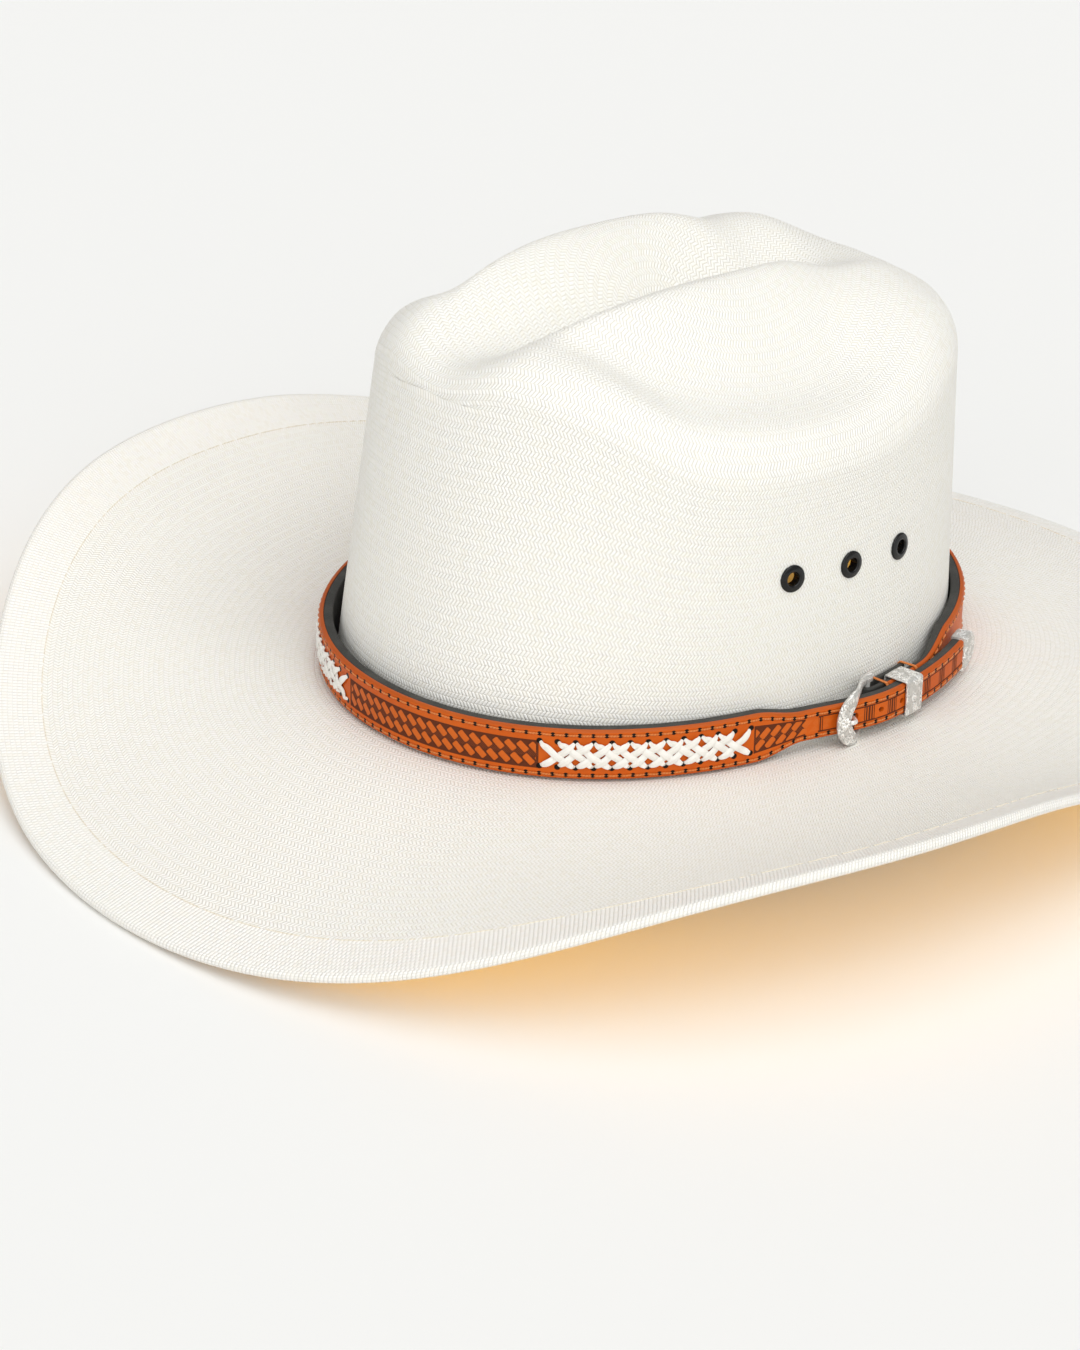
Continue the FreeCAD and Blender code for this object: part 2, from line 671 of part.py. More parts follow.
def buckle_tongue():
    """Ring on the bar, a shank under the strap, a step up through the hole and a tip on the rim."""
    sleeve_foot = Vector(BAR.x, BAR.y, BAND_MID - 0.9)
    up = Vector(0, 0, 1)
    outer = Part.makeCylinder(BAR_RADIUS + 0.75, 1.8, sleeve_foot, up)
    bore = Part.makeCylinder(BAR_RADIUS + 0.05, 1.8, sleeve_foot, up)
    hole_u = (slot_centre(TONGUE_HOLE_ANGLE) - BUCKLE_ORIGIN).dot(BUCKLE_REAR) - 0.3
    rim_top = RIM_W + 0.95
    route = [(BAR_U - BAR_RADIUS - 0.35, BAR_W), (hole_u + 2.4, 3.3), (hole_u, 4.6),
             (hole_u - 0.1, 8.6), (hole_u - 1.5, rim_top + 0.75), (RIM_U + 1.3, rim_top + 0.62)]
    rod = None
    for a, b in zip(route, route[1:]):
        pa, pb = at_buckle(a[0], 0, a[1]), at_buckle(b[0], 0, b[1])
        piece = Part.makeCylinder(0.6, (pb - pa).Length, pa, pb - pa)
        joint = Part.makeSphere(0.6, pb)
        rod = piece.fuse(joint) if rod is None else rod.multiFuse([piece, joint])
    return outer.fuse(rod).cut(bore)


def slot_centre(angle):
    return beside_crown(math.radians(angle), 0, BAND_MID)


export("buckle_tongue", buckle_tongue())


def box_between(origin, rear, out, u, v, w):
    """Box from ranges along the strap, up the hat and out from it."""
    corners = [origin + rear * u[i] + Vector(0, 0, v[0]) + out * w[j]
               for i, j in ((0, 0), (1, 0), (1, 1), (0, 1))]
    base = Part.Face(Part.makePolygon(corners + corners[:1]))
    return base.extrude(Vector(0, 0, v[1] - v[0]))


def keeper():
    """Rectangular loop round the chape's outer layer and the free strap."""
    origin, rear, out = local_frame(KEEPER_ANGLE)
    half, wall = KEEPER_LENGTH / 2, 0.7
    inside_low, inside_high = CHAPE_OFFSET - 0.6, BILLET_OFFSET + LINING - 0.5 + FACE + 0.35
    inside_v = STRAP_HEIGHT / 2 + 0.35
    body = box_between(origin, rear, out, (-half, half), (-inside_v - wall, inside_v + wall),
                       (inside_low - 0.55, inside_high + wall))
    opening = box_between(origin, rear, out, (-half - 1, half + 1), (-inside_v, inside_v),
                          (inside_low, inside_high))
    return body.cut(opening)


export("keeper", keeper())


def stitched_loop(angle):
    """Square loop of heavy thread round both layers of the chape."""
    origin, rear, out = local_frame(angle)
    r = 0.17
    near, far = 0.22, CHAPE_OFFSET + SKIVED + 1.0 + 0.25
    edge = STRAP_HEIGHT / 2 + 0.3
    outer = box_between(origin, rear, out, (-r, r), (-edge - r, edge + r), (near - r, far + r))
    return outer.cut(box_between(origin, rear, out, (-1, 1), (-edge + r, edge - r),
                                 (near + r, far - r)))


for where, angle in zip(("front", "rear"), LOOP_ANGLES):
    export(f"chape_loop_{where}", stitched_loop(angle))


def strap_tip():
    """Round-ended metal cap over the strap's free end."""
    origin, rear, out = local_frame(BILLET_END)
    inner, _, outer, _ = band_layers(BILLET_END)
    radius = STRAP_HEIGHT / 2 + 0.6
    straight = TIP_LENGTH - radius
    low, high = inner - 0.5, outer + 0.5
    body = box_between(origin, rear, out, (-2.2, straight), (-radius, radius), (low, high))
    round_end = Part.makeCylinder(radius, high - low, origin + rear * straight + out * low, out)
    pocket = box_between(origin, rear, out, (-3, 0.1), (-radius - 1, radius + 1),
                         (inner - 0.05, outer + 0.05))
    return body.fuse(round_end).cut(pocket)


export("strap_tip", strap_tip())
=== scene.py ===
import math
import random

import bmesh
import bpy
from mathutils import Matrix, Vector


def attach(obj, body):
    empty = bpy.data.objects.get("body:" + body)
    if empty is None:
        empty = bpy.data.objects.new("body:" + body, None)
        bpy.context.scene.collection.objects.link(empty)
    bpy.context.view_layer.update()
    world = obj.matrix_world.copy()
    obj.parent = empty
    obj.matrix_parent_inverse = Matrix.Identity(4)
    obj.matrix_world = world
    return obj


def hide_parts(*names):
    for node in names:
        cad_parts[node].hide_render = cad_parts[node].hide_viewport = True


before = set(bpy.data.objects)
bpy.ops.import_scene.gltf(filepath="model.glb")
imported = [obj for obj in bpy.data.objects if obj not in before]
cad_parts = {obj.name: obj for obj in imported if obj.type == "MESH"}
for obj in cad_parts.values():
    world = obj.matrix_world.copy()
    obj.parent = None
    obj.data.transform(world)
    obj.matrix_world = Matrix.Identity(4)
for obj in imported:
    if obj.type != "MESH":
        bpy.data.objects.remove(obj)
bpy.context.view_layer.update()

MM = 0.001

# Lengths are millimetres. +Z is up, -Y is the front of the hat and +X the wearer's left.
# An angle round the hat is 0 at the front, 90 degrees at the wearer's left and 180 at the back.

# ---- driving dimensions, the same as the frame's ----
STRAW = 1.1
CROWN_CENTRE_Y = -1.5
CROWN_BASE = (103.5, 86.6)
CROWN_TAPERED = (94.8, 79.3)
TAPER_HEIGHT = 110.0
CROWN_LEAN = 8.0
OVAL_POWER = 2.07
BREAK_Z = 27.0
BREAK_RADIUS = 2.5
BRIM_EDGE_RISE = (0.2, 10.5, 40.0, 51.0, 47.0, 31.5, 18.0, 2.2, 0.2)
BRIM_WIDTH = (106.8, 107.9, 110.9, 109.1, 103.1, 103.1, 106.5, 108.7, 109.9)
SHOULDER_Z = (144.0, 142.0, 130.0, 121.0, 119.5, 121.5, 130.5, 132.0, 127.5)
CORNER_LIFT = 3.6
SHOULDER_DROP = 9.0
SHOULDER_START = 0.90
RAIL_Z = 158.5
CREASE_DEPTH = 24.0
DENT_DEPTH = 11.0
WIRE_RADIUS = 0.5
FOLD_RADIUS = WIRE_RADIUS + 0.15 + STRAW / 2
FOLD_GAP = 0.4
HEM_WIDTH = 14.0

BAND_BOTTOM, BAND_TOP = 28.5, 44.7
BAND_MID = (BAND_BOTTOM + BAND_TOP) / 2
BAND_GAP = 0.35
LINING = 3.0
FACE = 1.3
STRAP_HEIGHT = 10.0
SKIVED = 1.5
TAPER_START, TAPER_END = 70.0, 81.0
LIFT_START, LIFT_END = 78.0, 102.0
BILLET_END = 127.0
BILLET_OFFSET = 7.0
CHAPE_START, CHAPE_END = 114.0, 128.0
CHAPE_OFFSET = 4.0
TAIL_END = 111.5
TAIL_OFFSET = 0.5
BUCKLE_ANGLE = 92.5
BAR_ANGLE = 98.5
BAR_OFFSET = 3.0
BAR_RADIUS = 0.9
STRAP_HOLE_ANGLES = (97.7, 103.2)
TONGUE_HOLE_ANGLE = 91.5
KEEPER_ANGLE = 106.3
KEEPER_LENGTH = 8.2
LOOP_ANGLES = (101.8, 111.2)
TIP_LENGTH = 8.5
RIM_U, RIM_W = -6.7, 9.4
ARM_V = 7.4

EYELET_Z = 81.0
EYELET_SPACING = 22.9
EYELET_CENTRE_Y = 8.0
EYELET_SLOPE = -0.06
EYELET_BORE = 2.1
EYELET_BARREL = 2.6
EYELET_FLANGE = 4.3

SWEATBAND = 1.0
SWEATBAND_BOTTOM, SWEATBAND_TOP = 26.5, 74.0
SWEAT_OUT = STRAW + 0.35
SWEAT_IN = SWEAT_OUT + SWEATBAND

# ---- finer dimensions of the visible pieces ----
AROUND = 336                    # stations round a closed ring of straw
STRAND = 1.15                   # pitch of the straw strands along a row
STITCH_PITCH = 4.0              # edge stitching of the hatband
STITCH_INSET = 1.5
THREAD = 0.27                   # radius of the hatband's thread
LACE_PITCH = 5.4
LACE_ROWS = (32.4, 40.8)        # heights of the two rows of lace holes
LACE_WIDTH, LACE_THICK = 2.15, 0.45
LACES = {"left": 60.0, "front": -79.2, "right": -219.0, "back": -358.0}   # start, along the band
LACE_HOLES = 13
PANELS = ((-12.6, 59.7), (-152.5, -80.4), (-292.0, -220.4))   # tooled panels, along the band
SMALL_PANEL = (126.0, 144.0)    # the tapering one before the buckle


# ---- small maths helpers ----
def mix(a, b, f):
    return a + (b - a) * f


def clamp(f):
    return min(max(f, 0.0), 1.0)


def smooth(f):
    f = clamp(f)
    return f * f * (3 - 2 * f)


def cosine_series(stations):
    """Smooth symmetric function of the angle through values at equal steps from front to back."""
    last = len(stations) - 1
    weights = [0.5 if i in (0, last) else 1.0 for i in range(last + 1)]
    terms = []
    for k in range(last + 1):
        total = sum(w * v * math.cos(math.pi * k * i / last)
                    for i, (w, v) in enumerate(zip(weights, stations)))
        terms.append(2.0 / last * total * weights[k])
    return lambda angle: sum(c * math.cos(k * angle) for k, c in enumerate(terms))


brim_edge_rise = cosine_series(BRIM_EDGE_RISE)
brim_width = cosine_series(BRIM_WIDTH)
even_shoulder = cosine_series(SHOULDER_Z)


def shoulder_z(angle):
    """Shoulder height; the front corner stands a little higher on the wearer's left."""
    if math.cos(angle) < 0.5:
        return even_shoulder(angle)
    corner = CORNER_LIFT * math.sin(3 * angle) ** 2
    return even_shoulder(angle) + math.copysign(corner, math.sin(angle))


def crown_wall(angle, z):
    """Point of the crown's outer wall at an angle and a height, as x, y."""
    f = (z - BREAK_Z) / TAPER_HEIGHT
    long_half = mix(CROWN_BASE[0], CROWN_TAPERED[0], f)
    wide_half = mix(CROWN_BASE[1], CROWN_TAPERED[1], f)
    s, c = math.sin(angle), math.cos(angle)
    r = (abs(s / wide_half) ** OVAL_POWER + abs(c / long_half) ** OVAL_POWER) ** (-1 / OVAL_POWER)
    return r * s, CROWN_CENTRE_Y + CROWN_LEAN * f - r * c


def outward(angle, z=BREAK_Z):
    """Horizontal outward direction of the wall."""
    step = 0.002
    ax, ay = crown_wall(angle - step, z)
    bx, by = crown_wall(angle + step, z)
    length = math.hypot(bx - ax, by - ay)
    return (by - ay) / length, -(bx - ax) / length


def beside_crown(angle, offset, z):
    """Point standing an offset out from the crown's base oval."""
    x, y = crown_wall(angle, BREAK_Z)
    nx, ny = outward(angle)
    return Vector((x + nx * offset, y + ny * offset, z))


def inside_crown(angle, inset, z):
    x, y = crown_wall(angle, max(z, BREAK_Z))
    nx, ny = outward(angle, z)
    return Vector((x - nx * inset, y - ny * inset, z))


# ---- meshes ----
def face_outward(mesh):
    """Turns every face of a closed mesh to look outward."""
    form = bmesh.new()
    form.from_mesh(mesh)
    bmesh.ops.recalc_face_normals(form, faces=form.faces)
    form.to_mesh(mesh)
    form.free()


def add_object(name, data):
    thing = bpy.data.objects.new(name, data)
    bpy.context.collection.objects.link(thing)
    return thing


def cut_away(thing, cutters):
    """Takes each cutter's solid out of a piece and keeps the finished mesh."""
    tools = []
    for cutter in cutters:
        mesh = bpy.data.meshes.new("cutter")
        mesh.from_pydata([p * MM for p in cutter.points], [], cutter.faces)
        face_outward(mesh)
        tool = add_object("cutter", mesh)
        cut = thing.modifiers.new("hole", "BOOLEAN")
        cut.object = tool
        cut.solver = "EXACT"
        tools.append(tool)
    bpy.context.view_layer.update()
    graph = bpy.context.evaluated_depsgraph_get()
    finished = bpy.data.meshes.new_from_object(thing.evaluated_get(graph))
    thing.modifiers.clear()
    thing.data = finished
    for tool in tools:
        bpy.data.objects.remove(tool)


class Shape:
    """Vertices, faces and surface coordinates of one piece, in millimetres."""

    def __init__(self):
        self.points, self.faces = [], []
        self.uvs, self.extra = [], []

    def face(self, corners, uv=None, extra=(0.0, 0.0)):
        self.faces.append(corners)
        self.uvs.append(uv or [(0.0, 0.0)] * len(corners))
        self.extra.append([extra] * len(corners))

    def engrave(self):
        """Marks every face made so far as engraved."""
        self.extra = [[(1.0, 0.0)] * len(corners) for corners in self.faces]

    def loft(self, rings):
        """Closed solid through rings of points, with a flat cap at each end."""
        base, count = len(self.points), len(rings[0])
        along, travelled = [0.0], 0.0
        for before, after in zip(rings, rings[1:]):
            travelled += (after[0] - before[0]).length
            along.append(travelled)
        round_ring = [0.0]
        for j in range(count):
            step = (rings[0][(j + 1) % count] - rings[0][j]).length
            round_ring.append(round_ring[-1] + step)
        for ring in rings:
            self.points.extend(ring)
        for i in range(len(rings) - 1):
            for j in range(count):
                k = (j + 1) % count
                a, b = base + i * count, base + (i + 1) * count
                u0, u1 = along[i], along[i + 1]
                v0, v1 = round_ring[j], round_ring[j + 1]
                self.face([a + j, a + k, b + k, b + j], [(u0, v0), (u0, v1), (u1, v1), (u1, v0)])
        last = base + (len(rings) - 1) * count
        self.face([base + j for j in reversed(range(count))])
        self.face([last + j for j in range(count)])

    def tube(self, path, radius, sides=8):
        """Round rod along a path; radius is a number or a list."""
        radii = radius if isinstance(radius, list) else [radius] * len(path)
        rings = []
        side = None
        for i, p in enumerate(path):
            along = (path[min(i + 1, len(path) - 1)] - path[max(i - 1, 0)]).normalized()
            if side is None:
                side = along.orthogonal().normalized()
            side = (side - along * side.dot(along)).normalized()
            up = along.cross(side)
            rings.append([p + (side * math.cos(t) + up * math.sin(t)) * radii[i]
                          for t in (2 * math.pi * k / sides for k in range(sides))])
        self.loft(rings)

    def turned(self, profile, place, axis, steps=48):
        """Surface of revolution about an axis through a closed outline of (radius, height)."""
        side = axis.orthogonal().normalized()
        up = axis.cross(side)
        base, count = len(self.points), len(profile)
        for k in range(steps):
            t = 2 * math.pi * k / steps
            way = side * math.cos(t) + up * math.sin(t)
            self.points.extend(place + way * r + axis * h for r, h in profile)
        for k in range(steps):
            for j in range(count):
                n, m = (k + 1) % steps, (j + 1) % count
                self.face([base + k * count + j, base + n * count + j,
                           base + n * count + m, base + k * count + m],
                          [(k, j), (k + 1, j), (k + 1, j + 1), (k, j + 1)])

    def slab(self, outer, inner, closed, uv, extra=None, holes=()):
        """Sheet with thickness between two matching grids of points.

        uv(i, j, a, b) gives the place of corner (a, b) of cell (i, j), and extra(i, j) its
        style, whose second value is 2 higher on the inner faces. A hole is (centre, axis,
        radius): its cells are left out and its rim is made round."""
        rows, count = len(outer), len(outer[0])
        cells = count if closed else count - 1
        missing = set()
        for centre, axis, radius in holes:
            for i in range(rows - 1):
                for j in range(cells):
                    middle = (outer[i][j] + outer[i + 1][(j + 1) % count]) / 2 - centre
                    depth = middle.dot(axis)
                    if abs(depth) < 3 and (middle - axis * depth).length < radius:
                        missing.add((i, j))
        kept = {(i, j) for i in range(rows - 1) for j in range(cells)} - missing
        for i, j in missing:
            for di, dj in ((0, 0), (1, 0), (0, 1), (1, 1)):
                a, b = i + di, (j + dj) % count
                around = {(a - 1, (b - 1) % count), (a - 1, b), (a, (b - 1) % count), (a, b)}
                if around & kept:
                    for grid in (outer, inner):
                        centre, axis, radius = min(holes, key=lambda h: (grid[a][b] - h[0]).length)
                        from_axis = grid[a][b] - centre
                        depth = from_axis.dot(axis)
                        level = (from_axis - axis * depth).normalized()
                        grid[a][b] = centre + axis * depth + level * radius
        base = len(self.points)
        size = rows * count
        for grid in (outer, inner):
            for row in grid:
                self.points.extend(row)

        def corner(i, j, under):
            return base + under * size + i * count + j % count

        for i, j in sorted(kept):
            square = [(i, j), (i + 1, j), (i + 1, j + 1), (i, j + 1)]
            places = [uv(i, j, a, b) for a, b in square]
            more = extra(i, j) if extra else (0.0, 0.0)
            self.face([corner(a, b, 0) for a, b in square], places, more)
            under = (more[0], more[1] + 2.0)
            self.face([corner(a, b, 1) for a, b in reversed(square)], places[::-1], under)
            sides = (((i, j - 1), square[0], square[1], 0), ((i + 1, j), square[1], square[2], 1),
                     ((i, j + 1), square[2], square[3], 2), ((i - 1, j), square[3], square[0], 3))
            for (ni, nj), a, b, side in sides:
                neighbour = (ni, nj % count if closed else nj)
                if neighbour not in kept:
                    at = (places[side], places[(side + 1) % 4])
                    self.face([corner(*b, 0), corner(*a, 0), corner(*a, 1), corner(*b, 1)],
                              [at[1], at[0], at[0], at[1]], more)

    def piece(self, name, body, material, stands_for, sharp=35, divide=0):
        """Makes the object, riding on a body in place of the CAD nodes that it stands for."""
        mesh = bpy.data.meshes.new(name)
        mesh.from_pydata([p * MM for p in self.points], [], self.faces)
        for title, table in (("surface", self.uvs), ("style", self.extra)):
            layer = mesh.uv_layers.new(name=title)
            layer.data.foreach_set("uv", [v for face in table for corner in face for v in corner])
        face_outward(mesh)
        mesh.shade_smooth()
        mesh.set_sharp_from_angle(angle=math.radians(sharp))
        mesh.materials.append(material)
        thing = add_object(name, mesh)
        if divide:
            modifier = thing.modifiers.new("rounding", "SUBSURF")
            modifier.levels = modifier.render_levels = divide
        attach(thing, body)
        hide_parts(*stands_for)
        return thing


# ---- shader arithmetic ----
class Field:
    """A number that varies over a surface, worked out by shader nodes."""

    def __init__(self, tree, socket):
        self.tree, self.socket = tree, socket

    def op(self, operation, *values):
        node = self.tree.nodes.new("ShaderNodeMath")
        node.operation = operation
        for slot, value in zip(node.inputs, (self,) + values):
            if isinstance(value, Field):
                self.tree.links.new(value.socket, slot)
            else:
                slot.default_value = value
        return Field(self.tree, node.outputs[0])

    def __add__(self, other):
        return self.op("ADD", other)

    def __sub__(self, other):
        return self.op("SUBTRACT", other)

    def __rsub__(self, other):
        return self.op("MULTIPLY", -1.0).op("ADD", other)

    def __mul__(self, other):
        return self.op("MULTIPLY", other)

    def __truediv__(self, other):
        return self.op("DIVIDE", other)

    __radd__, __rmul__ = __add__, __mul__

    def floor(self):
        return self.op("FLOOR")

    def fract(self):
        return self.op("FRACT")

    def abs(self):
        return self.op("ABSOLUTE")

    def power(self, exponent):
        return self.op("POWER", exponent)

    def hypotenuse(self, other):
        return (self.power(2.0) + other.power(2.0)).power(0.5)

    def zigzag(self):
        """0 in the middle of each whole step and 1 at its ends."""
        return (self.fract() - 0.5).abs() * 2

    def within(self, low, high, soft):
        """1 between two values and 0 beyond them."""
        return (self - low).ramp(-soft, soft) * (self - high).ramp(soft, -soft)

    def least(self, other):
        return self.op("MINIMUM", other)

    def most(self, other):
        return self.op("MAXIMUM", other)

    def ramp(self, low, high):
        """0 below low and 1 above high (or the reverse), easing between."""
        node = self.tree.nodes.new("ShaderNodeMapRange")
        node.interpolation_type = "SMOOTHSTEP"
        flip = low > high
        self.tree.links.new(self.socket, node.inputs["Value"])
        node.inputs["From Min"].default_value = min(low, high)
        node.inputs["From Max"].default_value = max(low, high)
        node.inputs["To Min"].default_value = 1.0 if flip else 0.0
        node.inputs["To Max"].default_value = 0.0 if flip else 1.0
        return Field(self.tree, node.outputs["Result"])


class Finish:
    """A material with one Principled shader and helpers for its colour and relief."""

    def __init__(self, name, roughness, metallic=0.0, **sockets):
        self.material = bpy.data.materials.new(name)
        self.material.use_nodes = True
        self.tree = self.material.node_tree
        self.shader = self.tree.nodes["Principled BSDF"]
        self.shader.inputs["Roughness"].default_value = roughness
        self.shader.inputs["Metallic"].default_value = metallic
        for socket, value in sockets.items():
            self.shader.inputs[socket.replace("_", " ")].default_value = value

    def place(self, layer="surface"):
        """The two surface coordinates of a named layer."""
        node = self.tree.nodes.new("ShaderNodeUVMap")
        node.uv_map = layer
        split = self.tree.nodes.new("ShaderNodeSeparateXYZ")
        self.tree.links.new(node.outputs[0], split.inputs[0])
        return Field(self.tree, split.outputs[0]), Field(self.tree, split.outputs[1])

    def position(self):
        return self.tree.nodes.new("ShaderNodeTexCoord").outputs["Object"]

    def position_parts(self):
        split = self.tree.nodes.new("ShaderNodeSeparateXYZ")
        self.tree.links.new(self.position(), split.inputs[0])
        return [Field(self.tree, output) for output in split.outputs]

    def vector(self, x, y, z=0.0):
        node = self.tree.nodes.new("ShaderNodeCombineXYZ")
        for slot, value in zip(node.inputs, (x, y, z)):
            if isinstance(value, Field):
                self.tree.links.new(value.socket, slot)
            else:
                slot.default_value = value
        return node.outputs[0]

    def noise(self, per_mm, detail=3.0, stretch=None, at=None):
        """Cloudy noise, 0 to 1, with this many features to a millimetre."""
        node = self.tree.nodes.new("ShaderNodeTexNoise")
        node.inputs["Scale"].default_value = per_mm if at else per_mm / MM
        node.inputs["Detail"].default_value = detail
        where = at or self.position()
        if stretch:
            mapping = self.tree.nodes.new("ShaderNodeMapping")
            mapping.inputs["Scale"].default_value = stretch
            self.tree.links.new(where, mapping.inputs[0])
            where = mapping.outputs[0]
        self.tree.links.new(where, node.inputs["Vector"])
        return Field(self.tree, node.outputs["Fac"])

    def cells(self, per_mm, feature="F1"):
        node = self.tree.nodes.new("ShaderNodeTexVoronoi")
        node.feature = feature
        node.inputs["Scale"].default_value = per_mm / MM
        self.tree.links.new(self.position(), node.inputs["Vector"])
        return Field(self.tree, node.outputs["Distance"])

    def random(self, x, y):
        """White noise, one value for each pair of whole numbers."""
        node = self.tree.nodes.new("ShaderNodeTexWhiteNoise")
        node.noise_dimensions = "2D"
        self.tree.links.new(self.vector(x, y), node.inputs["Vector"])
        return Field(self.tree, node.outputs["Value"])

    def colour(self, base, *layers):
        """Base colour, then (mask, colour) layers over it."""
        current = None
        for mask, tint in layers:
            node = self.tree.nodes.new("ShaderNodeMix")
            node.data_type = "RGBA"
            self.tree.links.new(mask.socket, node.inputs[0])
            if current is None:
                node.inputs[6].default_value = (*base, 1)
            else:
                self.tree.links.new(current, node.inputs[6])
            node.inputs[7].default_value = (*tint, 1)
            current = node.outputs[2]
        self.tree.links.new(current, self.shader.inputs["Base Color"])

    def relief(self, height, millimetres, strength=1.0):
        node = self.tree.nodes.new("ShaderNodeBump")
        node.inputs["Strength"].default_value = strength
        node.inputs["Distance"].default_value = millimetres * MM
        self.tree.links.new(height.socket, node.inputs["Height"])
        self.tree.links.new(node.outputs[0], self.shader.inputs["Normal"])
        return node.outputs[0]

    def roughen(self, field):
        self.tree.links.new(field.socket, self.shader.inputs["Roughness"])

    def let_light_through(self, share, tint, normal):
        """Lets a tinted share of the light through, scattered where it enters the material."""
        translucent = self.tree.nodes.new("ShaderNodeBsdfTranslucent")
        translucent.inputs["Color"].default_value = (*tint, 1)
        self.tree.links.new(normal, translucent.inputs["Normal"])
        entering = self.tree.nodes.new("ShaderNodeMixShader")
        self.tree.links.new(share.socket, entering.inputs[0])
        self.tree.links.new(self.shader.outputs[0], entering.inputs[1])
        self.tree.links.new(translucent.outputs[0], entering.inputs[2])
        clear = self.tree.nodes.new("ShaderNodeBsdfTransparent")
        side = self.tree.nodes.new("ShaderNodeNewGeometry")
        leaving = self.tree.nodes.new("ShaderNodeMixShader")
        self.tree.links.new(side.outputs["Backfacing"], leaving.inputs[0])
        self.tree.links.new(entering.outputs[0], leaving.inputs[1])
        self.tree.links.new(clear.outputs[0], leaving.inputs[2])
        output = self.tree.nodes["Material Output"]
        self.tree.links.new(leaving.outputs[0], output.inputs["Surface"])


def woven_straw():
    """Cream paper straw: rows of slanted strands, each row leaning the other way, with painted shade
    in the gaps between strands.
    """
    f = Finish("woven_straw", 0.55, Specular_IOR_Level=0.35)
    along, row = f.place()
    lean, kind = f.place("style")
    plain = kind.op("MODULO", 2.0)
    underside = kind.ramp(1.6, 1.9)
    across = row.fract()
    shifted = along + lean * across
    strand = shifted.zigzag()
    ends = (across - 0.5).abs() * 2
    own = f.random(shifted.floor(), row.floor())
    round_top = 1 - strand.power(2.6)
    tucked = 1 - ends.power(5.0) * 0.6
    height = round_top * tucked * (0.75 + own * 0.35)
    fibre = f.noise(0.9, 2.0)
    # painted shade: the low places between strands and at the row ends are coloured darker, less on
    # the plain hem
    gap = height.ramp(0.42, 0.02)
    stain = f.noise(0.02, 4.0).ramp(0.35, 0.75)
    f.colour((0.99, 0.98, 0.93), (own.ramp(0.35, 1.0) * 0.5, (1.0, 0.992, 0.965)),
             (own.ramp(0.4, 0.0) * 0.5, (0.93, 0.905, 0.825)), (stain * 0.2, (0.97, 0.95, 0.89)),
             (gap * (0.7 - plain * 0.4), (0.70, 0.64, 0.48)))
    normal = f.relief(height + fibre * 0.25, 0.3, 0.9)
    x, y, _ = f.position_parts()
    on_brim = x.hypotenuse(y).ramp(0.110, 0.150)
    f.let_light_through(0.02 + on_brim * underside * 0.62, (1.3, 0.66, 0.07), normal)
    return f.material


def leather_grain(f, per_mm=1.6):
    """Fine pebbled relief with a few creases."""
    pebbles = f.cells(per_mm).ramp(0.0, 0.7)
    return pebbles * 0.5 + f.noise(0.35, 4.0) * 0.9


